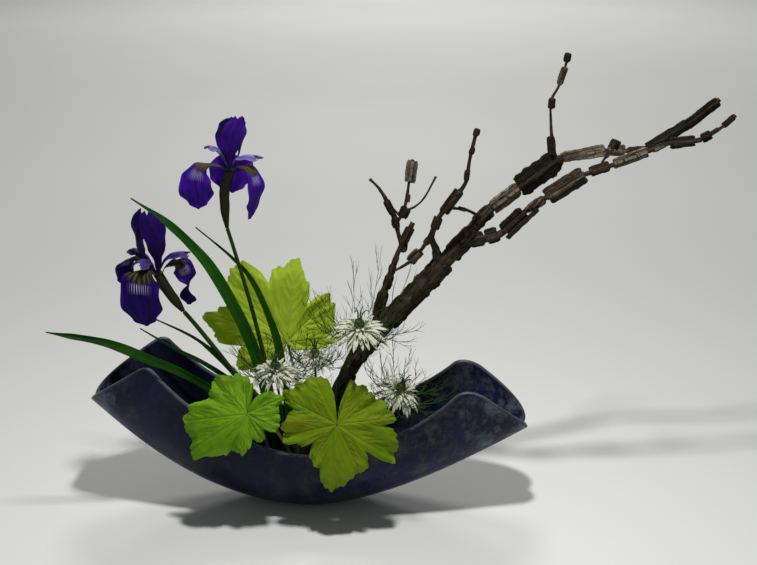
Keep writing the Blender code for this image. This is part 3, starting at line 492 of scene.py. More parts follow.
def rolled(columns, rows, place, marks=(), size=None):
    """A closed tube from a sheet: place(turn, t) for turn in radians round it."""
    bm = grid(columns, rows, lambda s, t: place(s * math.tau, t), marks, size)
    bmesh.ops.remove_doubles(bm, verts=bm.verts, dist=0.001 * MM)
    bmesh.ops.holes_fill(bm, edges=[edge for edge in bm.edges if edge.is_boundary], sides=0)
    bmesh.ops.recalc_face_normals(bm, faces=bm.faces)
    return bm


def tube(route, radii, sides, rows, shape=None, marks=(), size=None):
    """A closed tube along a route; radii in mm along it, and shape(turn, t) scales them."""

    def place(turn, t):
        point, _, side, up = route.at(t)
        radius = between(radii, t) * MM
        if shape is not None:
            radius *= shape(turn, t)
        return point + (side * math.cos(turn) + up * math.sin(turn)) * radius

    return rolled(sides, rows, place, marks, size)


def gather(meshes):
    """Several meshes as one."""
    whole = bmesh.new()
    for bm in meshes:
        mesh = bpy.data.meshes.new("part")
        bm.to_mesh(mesh)
        bm.free()
        whole.from_mesh(mesh)
        bpy.data.meshes.remove(mesh)
    return whole


def crisp_edges(bm):
    """A sheet's outline stays sharp when it gets its thickness."""
    for edge in bm.edges:
        if edge.is_boundary:
            edge.smooth = False
    return bm


def piece(name, bm, material, slot, *nodes, wall=0.0, inwards=False, smooth=True):
    """A finished piece of the arrangement, which stands for the named parts of the plain model."""
    mesh = bpy.data.meshes.new(name)
    bm.to_mesh(mesh)
    bm.free()
    for polygon in mesh.polygons:
        polygon.use_smooth = smooth
    mesh.materials.append(material)
    obj = bpy.data.objects.new(name, mesh)
    bpy.context.scene.collection.objects.link(obj)
    if wall:
        solidify = obj.modifiers.new("wall", "SOLIDIFY")
        solidify.thickness = wall * MM
        solidify.offset = 1 if inwards else 0
    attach(obj, "root")
    if nodes:
        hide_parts(*nodes)
    return obj


# ---------------------------------------------------------------- bowl and pin holder

BOWL_HALF_LENGTH = 183 * MM
BOWL_END_HEIGHT = 88 * MM
BOWL_RIM_HALF_LENGTH = 130 * MM
BOWL_RIM_HEIGHTS = (67 * MM, 135 * MM)  # at the middle and at the ends
BOWL_RIM_HALF_WIDTHS = (45 * MM, 34 * MM)
BOWL_END_BULGES = (5 * MM, 9 * MM)  # how far the left and right end walls bow outwards
BOWL_FOLD_POWERS = (2.1, 1.62)  # how steeply the fold curves up to the left and to the right
BOWL_CORNERS = ((0.04, 0.08), (0.065, 0.15))  # how much of u and v the left and right corners take up
BOWL_WALL = 4.5
BOWL_SOFT_EDGE = 1.3
BOWL_GIRTH, BOWL_LENGTH = 150, 330  # mm over the slab, about, from rim to rim and from end to end
THIN_GLAZE = 0.9  # mm from the slab's outline at which the thinning has mostly faded
BOWL_LEAN = Matrix.Rotation(math.radians(3.2), 3, "Y")
BOWL_SLUMP = 2.6 * MM


def round_corner(u, v):
    """Rounds the slab's corners: within BOWL_CORNERS of one, the square is drawn in to an ellipse."""
    wide, tall = BOWL_CORNERS[u > 0]
    p, q = (abs(u) - 1 + wide) / wide, (abs(v) - 1 + tall) / tall
    if p <= 0 or q <= 0:
        return u, v
    p, q = p * math.sqrt(1 - q * q / 2), q * math.sqrt(1 - p * p / 2)
    return math.copysign(1 - wide + wide * p, u), math.copysign(1 - tall + tall * q, v)


def bowl_point(u, v):
    """The bowl's outer face: u runs along it and v round it, front rim to back rim, -1 to 1."""
    u, v = round_corner(u, v)
    turn = v * math.pi / 2
    share = abs(u)
    rise = 0.88 * share**1.78 + 0.12 * share**6 if u < 0 else 0.75 * share**1.6 + 0.25 * share**5
    power, bulge = [pair[u > 0] for pair in (BOWL_FOLD_POWERS, BOWL_END_BULGES)]
    low, high = BOWL_RIM_HEIGHTS
    wide, narrow = BOWL_RIM_HALF_WIDTHS
    fold = Vector((BOWL_HALF_LENGTH * u, 0, BOWL_END_HEIGHT * share**power))
    rim = Vector((BOWL_RIM_HALF_LENGTH * u, 0, low + (high - low) * rise))
    point = fold.lerp(rim, 1 - math.cos(turn))
    point.y = (wide + (narrow - wide) * u * u) * math.sin(turn)
    point.x += math.copysign(bulge * u**6 * math.sin(math.pi * abs(v)), u)
    point = BOWL_LEAN @ point
    point.z = max(point.z - BOWL_SLUMP, 0.0)
    return point


def build_bowl():
    def place(s, t):
        point = bowl_point(2 * s - 1, 2 * t - 1)
        swell = noise.noise(point * 26) * 0.55 + noise.noise(point * 75 + UP) * 0.22
        hold = eased(point.z / (9 * MM))  # the foot stays flat
        point.y += math.copysign(swell * MM, point.y) * hold
        point.z += noise.noise(point * 38 - UP * 5) * 0.5 * MM * hold * abs(2 * t - 1) ** 3
        return point

    def edge(s, t):
        """1 on the slab's outline, fading within a few millimetres of it."""
        nearest = min((0.5 - abs(t - 0.5)) * BOWL_GIRTH, (0.5 - abs(s - 0.5)) * BOWL_LENGTH)
        return math.exp(-nearest / THIN_GLAZE)

    bm = grid(150, 64, place, [("edge", edge)])
    glaze = blue_black_glaze()
    bowl = piece("glazed_bowl", bm, glaze, "blue_black_glaze", "bowl", wall=BOWL_WALL, inwards=True)
    bevel = bowl.modifiers.new("soft_rim", "BEVEL")
    bevel.width = BOWL_SOFT_EDGE * MM
    bevel.segments = 4
    bevel.limit_method = "ANGLE"
    bevel.angle_limit = math.radians(50)


HOLDER_CORNER, HOLDER_CHAMFER = 4.0, 0.5  # its upright edges, and those round its top and bottom
PIN_ROWS = (20, 11)
PIN_MARGIN = 4.2
PIN_STAGGER = 1.5
PIN_HEIGHT = 9.0
PIN_RADIUS = 0.55
# A pin's shaft and point, as (radius below, radius above, share of its height, where its middle is).
PIN_PARTS = [(PIN_RADIUS, PIN_RADIUS * 0.8, 0.7, 0.34), (PIN_RADIUS * 0.8, 0.03, 0.3, 0.84)]
STEM_CLEARANCE = 1.0


def build_kenzan(stems):
    low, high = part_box("kenzan")
    top = high.z - PIN_HEIGHT * MM
    size = Vector((high.x - low.x, high.y - low.y, top - low.z))
    bm = bmesh.new()
    bmesh.ops.create_cube(bm, size=1)
    bmesh.ops.scale(bm, vec=size, verts=bm.verts)
    for offset, chosen in ((HOLDER_CORNER, upright_edge), (HOLDER_CHAMFER, flat_edge)):
        edges = [edge for edge in bm.edges if chosen(edge)]
        bmesh.ops.bevel(
            bm, geom=edges, offset=offset * MM, segments=4, profile=0.5, affect="EDGES", material=-1
        )
    centre = Vector(((low.x + high.x) / 2, (low.y + high.y) / 2, (low.z + top) / 2))
    bmesh.ops.translate(bm, vec=centre, verts=bm.verts)
    piece("pin_holder_block", bm, cast_lead(), "cast_lead", "kenzan", smooth=False)
    pins = bmesh.new()
    columns, rows = PIN_ROWS
    margin = PIN_MARGIN * MM
    for column in range(columns):
        for row in range(rows):
            shift = (row % 2 - 0.5) * PIN_STAGGER * MM
            x = low.x + margin + (size.x - 2 * margin) * column / (columns - 1) + shift
            y = low.y + margin + (size.y - 2 * margin) * row / (rows - 1)
            place = Vector((x, y))
            if any((place - foot).length < radius + STEM_CLEARANCE * MM for foot, radius in stems):
                continue
            height = PIN_HEIGHT * MM
            for below, above, share, middle in PIN_PARTS:
                bmesh.ops.create_cone(
                    pins,
                    cap_ends=True,
                    segments=6,
                    radius1=below * MM,
                    radius2=above * MM,
                    depth=height * share,
                    matrix=Matrix.Translation((x, y, top + height * middle)),
                )
    piece("pin_holder_pins", pins, brass_pins(), "cast_lead", smooth=False)


def upright_edge(edge):
    return abs(edge.verts[0].co.z - edge.verts[1].co.z) > MM


def flat_edge(edge):
    """An edge round the block's top or bottom face."""
    level = abs(edge.verts[0].co.z - edge.verts[1].co.z) < 0.01 * MM
    return level and any(abs(face.normal.z) > 0.9 for face in edge.link_faces) and any(
        abs(face.normal.z) < 0.1 for face in edge.link_faces
    )


# ---------------------------------------------------------------- branches

# Each limb is a list of (x, y, z, radius) in mm, from its thick end; the points are its knots.
MAIN_LIMBS = {
    "trunk": [
        (-4, 8, 22.0, 5.6), (-3.4, 8, 29, 6.0), (12, 7, 62, 5.8), (31, 4, 104, 5.6), (48, 4, 132, 5.4),
        (64, 5, 153, 5.8), (82, 6, 176, 5.7), (98, 8, 192, 6.2), (114, 9, 211, 6.6),
        (130, 11, 230, 6.2), (142, 12, 243, 5.6),
    ],
    "upper_fork": [
        (136, 12, 238, 5.5), (148, 15, 253, 4.0), (160, 20, 264, 2.9), (178, 24, 275, 2.4),
        (196, 29, 289, 2.2), (208, 32, 297, 2.4), (222, 34, 300, 1.9), (243, 36, 303, 1.8),
        (264, 36, 303, 1.8), (284, 36, 306, 1.8), (304, 38, 317, 1.7), (313, 38, 327, 1.5),
        (334, 38, 345, 1.8),
    ],
    "lower_fork": [
        (134, 11, 233, 4.4), (149, 6, 237, 3.4), (162, 4, 242, 2.8), (174, 2, 254, 2.3), (184, 0, 265, 2.0),
        (196, -2, 274, 2.0), (218, -6, 291, 1.9), (236, -6, 298, 1.7), (256, -6, 306, 1.7),
        (274, -4, 313, 1.6), (288, -2, 318, 1.5), (306, 0, 320, 1.4), (317, 0, 323, 1.2),
        (328, 2, 330, 1.2), (338, 4, 339, 1.6),
    ],
    "top_twig": [
        (207, 32, 296, 2.2), (203, 30, 308, 1.6), (200, 28, 333, 0.9), (200, 27, 346, 1.1),
        (205, 24, 358, 0.9), (209, 22, 374, 0.9), (210, 20, 383, 1.5),
    ],
    "spur": [(237, -6, 298, 1.1), (238, -4, 304, 0.9), (245, -2, 312.5, 1.2), (248.4, 0, 320, 1.8)],
    "inner_fork": [
        (113, 9, 212, 4.4), (111, 6, 227, 3.0), (107, 3, 238, 2.4), (109, -1, 248, 2.2),
        (114, -4, 260, 2.0), (120, -6, 268, 2.0), (127, -8, 278, 1.8), (133, -10, 289, 1.5),
        (135, -12, 306, 1.3), (140, -14, 331, 1.4),
    ],
    "inner_hook": [
        (119, -6, 267, 1.5), (124, -3, 265, 1.2), (134, 3, 262, 1.2), (141, 8, 257.5, 1.2),
        (147, 13, 252, 1.4),
    ],
    "hanging_twig": [
        (107, 2, 242, 1.9), (101, 4, 231, 1.5), (94, 8, 220, 1.7), (84, 11, 211, 1.2),
        (77.5, 13.5, 206.5, 0.9),
    ],
}
SIDE_LIMBS = {
    "stem": [
        (11, 13, 21.6, 2.8), (12, 13.4, 27, 3.0), (21, 17, 64, 2.8), (34, 19, 112, 2.9),
        (46, 19, 138, 2.8), (62, 19, 160, 3.2), (68, 19, 184, 3.4), (73, 19, 199, 2.8),
        (77, 20, 212, 2.2), (83, 22, 227, 2.0), (88, 24, 236, 2.4), (92, 26, 244, 2.0),
    ],
    "crook": [
        (83, 22, 225, 1.8), (79, 22, 240, 1.9), (77, 22, 249, 2.2), (71, 20, 263, 1.9), (65, 18, 274, 1.2),
        (57, 16, 283, 1.1),
    ],
    "pod_twig": [
        (78, 22, 244, 1.4), (84, 24, 254, 1.6), (87, 24, 268, 1.2), (89, 24, 284, 1.2),
        (91, 26, 297, 1.3),
    ],
    "whip": [(83, 24, 254, 1.1), (93, 24, 258, 0.9), (101, 24, 266, 0.8), (110, 22, 284, 0.9)],
    "fork": [(65, 18, 273, 0.9), (72, 20, 262, 0.8), (80, 22, 252, 0.9)],
}
# Plates of cork: the two ends of their middle line in mm, their full width facing the viewer and
# across it, and their tone, from 0, dark, to 1, pale. A last number turns a plate along its length.
MAIN_CORK = [
    ((5, 7.5, 47), (15, 6.5, 68), 14, 14, 0.15),
    ((20, 5.5, 79), (40, 4, 118), 14.5, 14.5, 0.2),
    ((46, 4, 130), (62, 5, 151), 14.5, 14, 0.1),
    ((70, 5, 161), (108, 9, 204), 20, 15, 0.18),
    ((104, 8.5, 198), (118, 9.5, 216), 19, 17, 0.3),
    ((122, 10, 220), (141, 12, 242), 16, 16, 0.15),
    ((142, 13, 247), (154.5, 17, 258.6), 12, 11, 0.3),
    ((155, 17.5, 259), (177, 24, 274.5), 12.5, 10, 0.9),
    ((176, 23.5, 274.5), (207, 31.5, 296), 21, 12, 0.1),
    ((205, 31.5, 292), (210, 32.5, 297), 11, 9, 0.05),
    ((210, 32, 298), (246, 36, 303.5), 10, 3.5, 0.85, 60),
    ((248, 36, 304), (262, 36, 303.2), 9.5, 8, 0.75),
    ((264, 36, 303), (277, 36, 304.5), 6, 5, 0.3),
    ((279, 36, 305), (311, 38, 325), 9.5, 6, 0.12),
    ((309, 38, 323), (333, 38, 343.5), 9.5, 7, 0.2),
    ((138, 9, 234), (149, 6, 237.5), 12, 11, 0.1),
    ((151, 6, 238), (160, 4, 242), 13, 10, 0.22),
    ((164, 4, 244), (180, 1, 261), 14, 9, 0.12),
    ((167, -2, 240), (190, -4, 265), 4, 3, 0.1),
    ((181, 1, 262), (195, -2, 273), 8, 5, 0.5, 110),
    ((196, -2, 274), (224, -6, 294), 15.5, 12, 0.5),
    ((228, -6, 296), (243, -6, 301), 8.5, 8, 0.42),
    ((245, -6, 302), (272, -4, 312), 8.5, 6, 0.95),
    ((276, -4, 313.5), (285, -2, 317), 5, 4, 0.4),
    ((288, -2, 318), (308, 0, 320), 9, 7, 0.35),
    ((313, 0, 321.5), (320, 0, 325), 7.5, 6, 0.15),
    ((329, 2.5, 331), (337, 4, 338), 5, 4.5, 0.12),
    ((203, 30, 300), (201, 29, 316), 6.5, 4.5, 0.08),
    ((200, 27, 339), (200.5, 26.5, 347), 6, 5.5, 0.08),
    ((205, 24, 358), (208.5, 22, 372), 5, 4, 0.5),
    ((209.3, 21.2, 376.5), (210, 20, 383), 5.5, 5, 0.06),
    ((245.6, -1.6, 313.5), (248.3, 0, 320), 8, 6, 0.15),
    ((240, -3.4, 307), (243, -2.5, 310.5), 4, 4, 0.3),
    ((109, -0.5, 247), (112, -2.5, 257), 7.5, 7, 0.3),
    ((116, -5, 262), (128, -8.5, 281), 9, 7, 0.3),
    ((133, -10, 289), (134, -11, 298), 4.5, 4.5, 0.2),
    ((136, -12.5, 311), (137, -13, 316), 4, 3.5, 0.1),
    ((139, -13.8, 325), (140, -14, 331), 4.5, 4, 0.12),
    ((128, -1, 264.5), (133, 2, 262.5), 3.5, 3.5, 0.3),
    ((107, 3, 239), (102, 4, 233), 6, 5, 0.35),
    ((98, 6, 226), (90, 9, 216), 8.5, 7, 0.62),
    ((112.5, 8.5, 214), (111.5, 6.5, 226), 8, 7, 0.1),
]
SIDE_CORK = [
    ((44, 19, 134), (52, 19, 146), 7, 7, 0.15),
    ((63, 19, 163), (68, 19, 185), 10, 8, 0.12),
    ((70, 19, 189), (73.5, 19, 200), 7.5, 7, 0.1),
    ((84, 22, 228), (90, 24, 240), 8, 4, 0.16),
    ((84, 23, 219), (85, 24, 231), 6, 4, 0.3),
    ((78.5, 22, 240), (77, 22, 249), 6.5, 6, 0.15),
    ((76, 21, 252), (70, 20, 264), 6.5, 5.5, 0.2),
    ((82.5, 22.6, 249), (86.5, 24, 257.5), 9, 8, 0.08),
    ((88.8, 24, 278), (91, 25.8, 296), 9.5, 8, 0.7),
    ((87.6, 24, 262), (88, 24, 268), 3.4, 3, 0.3),
]
CORK_THICKNESS = 2.1
CORK_BLOCK = 4.6  # mm, the length of the blocks that a plate is broken into
CORK_MESH = (0.75, 1.25)  # mm between its rows of points, outwards and along


def cork_wing(start, end, reach, roll, tone, turned, seed):
    """One plate that stands out from a twig's middle line to its reach, broken into blocks.

    It rolls by turned degrees round that line on its way along it.
    """
    start, end = Vector(start), Vector(end)
    forward = (end - start).normalized()
    side = forward.cross(Vector((0, 1, 0))).normalized()
    facing = side.cross(forward)
    length = (end - start).length
    wild = Vector((seed * 7.31, seed * 3.17, seed * 5.73))

    def place(s, t):
        block = noise.cell(Vector((t * length / CORK_BLOCK + seed * 0.37, seed, 0.5)))
        ragged = noise.noise(wild + Vector((t * length / 1.5, 0, 0)))
        worn = max(0.0, 1 - min(t, 1 - t) * length / (reach * 0.3 + 0.5))
        out = reach * (0.95 + 0.05 * block + 0.04 * ragged) * (1 - 0.16 * worn * worn)
        roll_here = math.radians(roll + turned * (t - 0.5))
        outward = side * math.cos(roll_here) + facing * math.sin(roll_here)
        over = facing * math.cos(roll_here) - side * math.sin(roll_here)
        ridge = noise.noise(wild + Vector((out * s / 0.9, t * length / 14, 2)))
        lump = noise.noise(wild + Vector((out * s / 4, t * length / 5, 4)))
        jag = noise.noise(wild + Vector((out * s / 1.3, 8, 6))) * (t - 0.5) * 1.6
        point = start.lerp(end, t) + forward * jag + outward * (out * s)
        return (point + over * (ridge * 0.26 + lump * 0.4 + 0.16 * math.cos(out * s * 2.6))) * MM

    def tones(s, t):
        return tone + noise.noise(wild + Vector((reach * s / 2.2, t * length / 9, 9))) * 0.3

    columns = max(3, round(reach / CORK_MESH[0]))
    rows = max(4, round(length / CORK_MESH[1]))
    return crisp_edges(grid(columns, rows, place, [("tone", tones)], (reach, length)))


def cork_plates(plates, rng):
    """Each plate is a pair of wings facing the viewer, and a narrower pair across them."""
    for start, end, width, across, tone, *turn in plates:
        turned = turn[0] if turn else 0
        for roll, reach in ((0, width / 2), (180, width / 2), (90, across / 2), (270, across / 2)):
            tilt = rng.uniform(-9, 9)
            shorter = rng.uniform(0, 0.07) * (Vector(end) - Vector(start))
            shade = tone + rng.uniform(-0.1, 0.1)
            seed = rng.randrange(1, 400)
            yield cork_wing(Vector(start) + shorter, end, reach, roll + tilt, shade, turned, seed)


def cork_flakes(knots, count, rng):
    """Short broken plates scattered along a limb."""
    route = Route(knots)
    radii = [knot[3] for knot in knots]
    for _ in range(count):
        t = rng.uniform(0.09, 0.97)
        span = rng.uniform(0.45, 1.3) * 9 / route.length
        start, end = route.at(t)[0] / MM, route.at(min(1.0, t + span))[0] / MM
        if (end - start).length < 2:
            continue
        reach = between(radii, t) * rng.uniform(1.02, 1.22) + rng.uniform(0.1, 0.8)
        roll, tone = rng.uniform(0, 360), rng.uniform(0.0, 0.5)
        yield cork_wing(start, end, reach, roll, tone, 0, rng.randrange(1, 400))


def limb(knots, seed, tone):
    """One limb's wood: ridged along its length, swollen at its knots."""
    route = Route(knots)
    radii = [knot[3] for knot in knots]
    thick = max(radii) > 3.4
    last = len(knots) - 1
    wild = Vector((seed * 2.3, seed * 4.1, seed * 1.9))

    def shape(turn, t):
        around = Vector((math.cos(turn), math.sin(turn), 0))
        far = UP * t * route.length
        ridges = noise.noise(wild + around * 3.4 + far / 13) * 0.16
        lumps = noise.noise(wild - around * 1.1 + far / 6) * 0.16
        knot = t * last - round(t * last)
        swell = 0.16 * math.exp(-((knot / 0.16) ** 2)) if not thick else 0.05
        return 0.96 + ridges + lumps + swell

    def tones(s, t):
        return tone + noise.noise(wild + Vector((s * 5, t * route.length / 9, 3))) * 0.35

    sides = 36 if thick else 14
    rows = round(route.length / (1.1 if thick else 1.3))
    return tube(route, radii, sides, rows, shape, [("tone", tones)], (max(radii) * math.tau, route.length))


def build_branches():
    bark = corky_bark("corky_bark", (0.022, 0.017, 0.011), (0.07, 0.053, 0.037), (0.21, 0.172, 0.13))
    for name, limbs, plates, flakes, seed in (
        ("main_branch", MAIN_LIMBS, MAIN_CORK, {"trunk": 60, "upper_fork": 12, "lower_fork": 12}, 5),
        ("side_branch", SIDE_LIMBS, SIDE_CORK, {"stem": 16}, 11),
    ):
        rng = random.Random(seed)
        wood = [limb(knots, seed + number, 0.3) for number, knots in enumerate(limbs.values())]
        piece(f"{name}_wood", gather(wood), bark, "corky_bark", name)
        cork = list(cork_plates(plates, rng))
        for limb_name, count in flakes.items():
            cork += cork_flakes(limbs[limb_name], count, rng)
        piece(f"{name}_cork", gather(cork), bark, "corky_bark", wall=CORK_THICKNESS)


# ---------------------------------------------------------------- irises

FALL_WIDTHS = [
    (0, 2.0), (0.15, 4.0), (0.3, 6.2), (0.45, 8.0), (0.6, 13.6), (0.77, 14.2), (0.92, 8.0), (1, 0.6),
]
BACK_FALL_WIDTHS = [
    (0, 2.0), (0.15, 3.6), (0.35, 4.8), (0.42, 9.0), (0.6, 18.0), (0.78, 18.0), (0.92, 10.0), (1, 0.6),
]
NARROW_FALL_WIDTHS = [
    (0, 2.0), (0.15, 4.0), (0.3, 6.0), (0.5, 8.0), (0.65, 9.5), (0.8, 8.0), (0.92, 3.6), (1, 1.8),
]
TWISTED_FALL_WIDTHS = [
    (0, 1.8), (0.15, 3.4), (0.35, 5.0), (0.5, 8.5), (0.62, 8.0), (0.76, 4.5), (0.92, 8.0), (1, 1.5),
]
STANDARD_WIDTHS = [(0, 1.4), (0.2, 2.6), (0.42, 7.0), (0.66, 9.5), (0.83, 7.8), (0.94, 5.4), (1, 2.8)]
STYLE_WIDTHS = [(0, 1.2), (0.25, 2.3), (0.5, 4.8), (0.8, 5.8), (0.93, 5.2), (1, 3.4)]
BROAD_STYLE_WIDTHS = [(0, 1.2), (0.28, 2.4), (0.5, 6.0), (0.8, 7.6), (0.93, 6.6), (1, 4.0)]
FALL_HOLLOW = -0.1
STANDARD_HOLLOW = 0.12
STYLE_HOLLOW = -0.55
PETAL_WALL, STYLE_WALL, BRACT_WALL = 0.5, 0.6, 0.35
RUFFLED_FROM = 14  # mm, the half width at which a petal has its full ruffles
BACK_AZIMUTH = 97  # the fall behind the tall iris, which the light shines through

# A petal's plan: its azimuth in degrees, its midline as (distance out, height) in mm, and stations
# of half width in mm and of twist in degrees. A sway is how far its tip has gone sideways, in mm.
TALL_IRIS = {
    "centre": (-54.6, 10, 292.5),
    "falls": [
        {
            "azimuth": 217,
            "midline": [
                (4.6, 0.4), (10, 4), (18, 6), (26, 4.5), (30, -3), (31, -13), (30, -22), (29, -29),
            ],
            "twist": [(0, 0), (0.35, -8), (0.6, -38), (1, -44)],
        },
        {
            "azimuth": 328,
            "midline": [
                (4.6, 0.4), (10, 3), (18, 4), (24.5, 0), (27.5, -8), (26.5, -19), (23, -30), (18.5, -39),
            ],
            "widths": NARROW_FALL_WIDTHS,
        },
        {
            "azimuth": BACK_AZIMUTH,
            "midline": [(4.6, 0.4), (10, 5), (18, 6.5), (25, 4.5), (29, -2), (30, -11), (29, -20), (28, -28)],
            "widths": BACK_FALL_WIDTHS,
        },
    ],
    "standards": [
        {
            "azimuth": 280,
            "midline": [(4.4, 0.9), (6, 9), (8.5, 18), (9, 28), (8, 36), (5.5, 43)],
            "sway": 9,
        },
        {
            "azimuth": 18,
            "midline": [(4.4, 0.9), (7, 9), (10, 18), (12, 27), (11, 34), (8, 40)],
            "twist": [(0, 0), (1, -40)],
            "sway": -3,
        },
        {
            "azimuth": 148,
            "midline": [(4.4, 0.9), (5.5, 10), (7.5, 19), (8, 28), (6, 35), (2, 40)],
            "sway": -5,
        },
    ],
    "styles": [
        {"azimuth": 217, "midline": [(1.9, 1.4), (5, 11), (9, 17), (14, 20), (20, 21)]},
        {
            "azimuth": 328,
            "midline": [(1.9, 1.4), (5.5, 7.5), (10, 11), (18, 12.5), (28, 11.5)],
            "sway": 7,
        },
        {"azimuth": BACK_AZIMUTH, "midline": [(1.9, 1.4), (6, 9), (12, 14), (19, 16), (26, 15)]},
    ],
    "spathe": [(-59, 10, 243), (-60, 10, 258), (-59, 10, 276), (-54.8, 10, 291.2)],
    "spathe_radii": [1.5, 2.6, 3.4, 3.6],
    "stalk": [
        (-15, -2, 22.3), (-22, 1, 66), (-29, 5, 114), (-39, 8, 163), (-46, 9, 193), (-53, 10, 220),
        (-58.8, 10, 242.3),
    ],
    "stalk_radii": [2.2, 1.9, 1.6, 1.5],
}
LOW_IRIS = {
    "centre": (-111.6, -20, 214.0),
    "falls": [
        {
            "azimuth": 246,
            "midline": [(4.6, 0.4), (10, 5.5), (18, 7), (24, 3), (27, -6), (28, -17), (28, -27), (26, -35)],
            "widths": [(0, 2.4), (0.15, 5), (0.3, 10), (0.5, 16.0), (0.76, 16.0), (0.92, 9.5), (1, 1)],
            "twist": [(0, 0), (0.3, 0), (0.6, -18), (1, -22)],
            "sway": 7,
        },
        {
            "azimuth": 2,
            "midline": [
                (4.6, 0.4), (7, 5.5), (12, 8.5), (18, 7.5), (22.5, 1), (25, -8), (24, -17), (24, -27),
            ],
            "widths": TWISTED_FALL_WIDTHS,
            "twist": [(0, 0), (0.35, 10), (0.5, 70), (0.62, 60), (0.76, 0), (0.9, -70), (1, -80)],
        },
        {
            "azimuth": 158,
            "midline": [
                (4.6, 0.4), (12, 7), (20, 9.5), (27, 8), (31, 3), (32, -4), (31, -11), (29, -17),
            ],
            "widths": NARROW_FALL_WIDTHS,
            "twist": [(0, 0), (0.4, 0), (0.7, 18), (1, 22)],
        },
    ],
    "standards": [
        {
            "azimuth": 296,
            "midline": [(4.4, 0.9), (6.5, 11), (10, 23), (11.5, 35), (9.5, 45), (6, 53)],
            "sway": -7,
        },
        {"azimuth": 80, "midline": [(4.4, 0.9), (6, 10), (8, 22), (8, 33), (6, 41), (2, 47)], "sway": 6},
        {
            "azimuth": 198,
            "midline": [(4.4, 0.9), (8.5, 11), (12, 22), (13, 33), (11.5, 44), (7.5, 53)],
            "twist": [(0, 0), (0.4, 20), (1, 40)],
        },
    ],
    "styles": [
        {
            "azimuth": 246,
            "midline": [(1.9, 1.4), (6, 10), (12, 15), (19, 15.5), (26, 12)],
            "widths": BROAD_STYLE_WIDTHS,
            "sway": -1,
        },
        {"azimuth": 2, "midline": [(1.9, 1.4), (5.5, 10), (11, 15.5), (19, 17.5), (28, 17.5)]},
        {"azimuth": 158, "midline": [(1.9, 1.4), (6, 9.5), (12, 15), (19, 17.5), (26, 17)]},
    ],
    "spathe": [(-93, -18, 181), (-99, -19, 191), (-106.5, -20, 204), (-111.3, -20, 212.6)],
    "spathe_radii": [1.8, 3.0, 3.5, 3.6],
    "stalk": [
        (4, -12, 22.3), (-12, -13, 64), (-33, -13, 99), (-52, -14, 121), (-69, -16, 147), (-82, -17, 166),
        (-92.4, -17.9, 180.2),
    ],
    "stalk_radii": [2.3, 2.1, 1.9, 1.7],
}


def petal(centre, plan, widths, hollow, ruffle, waves=3, notch=0.0, fringe=0.0, rows=52):
    """A petal: ruffled along its edges, creased along its middle, and notched or fringed at its tip."""
    line = through([Vector((out, 0, up)) * MM for out, up in plan["midline"]], 8)
    twists = plan.get("twist", [(0, 0), (1, 0)])
    widths = plan.get("widths", widths)
    sway = plan.get("sway", 0) * MM
    centre = Vector(centre) * MM
    outward = Matrix.Rotation(math.radians(plan["azimuth"]), 3, "Z")
    phase = plan["azimuth"] * 1.7 + centre.x * 90

    def place(s, t):
        s = 2 * s - 1
        cut = notch * (1 - abs(s)) ** 1.6 + fringe * abs(math.sin(s * 11 + phase))
        t *= 1 - cut * eased((t - 0.7) / 0.3)
        point, forward, _, _ = on_line(line, t)
        half = along(widths, t) * MM
        turn = Matrix.Rotation(math.radians(along(twists, t)), 3, forward)
        side = turn @ Vector((0, 1, 0))
        rise = turn @ Vector((-forward.z, 0, forward.x))
        full = half / (RUFFLED_FROM * MM)
        wave = math.sin(waves * math.tau * t + phase + (1.9 if s > 0 else 0)) * ruffle * s * s * full
        crease = -0.5 * math.exp(-((s / 0.13) ** 2)) * min(1.0, full * 1.5)
        crumple = noise.noise(Vector((s * 2.2, t * 5, phase))) * 1.1 * full
        height = half * hollow * s * s + (wave + crease + crumple) * MM
        point = point + Vector((0, sway * t * t, 0)) + side * half * s + rise * height
        return centre + outward @ point

    return crisp_edges(grid(26, rows, place))


def sheath(route, radii, wraps, faces_to, tip):
    """A bract that wraps a stem and ends in a point, at tip of the route's length.

    wraps are stations of how far round it reaches, in degrees.
    """

    def place(s, t):
        point, forward, side, up = route.at(min(1.0, t * tip))
        beyond = max(0.0, t * tip - 1.0) * route.length * MM
        turn = math.radians(faces_to + (s - 0.5) * along(wraps, t))
        radius = between(radii, min(1.0, t)) * MM * (1 + 0.05 * math.cos(s * 31))
        return point + forward * beyond + (side * math.cos(turn) + up * math.sin(turn)) * radius

    return crisp_edges(grid(18, 40, place))


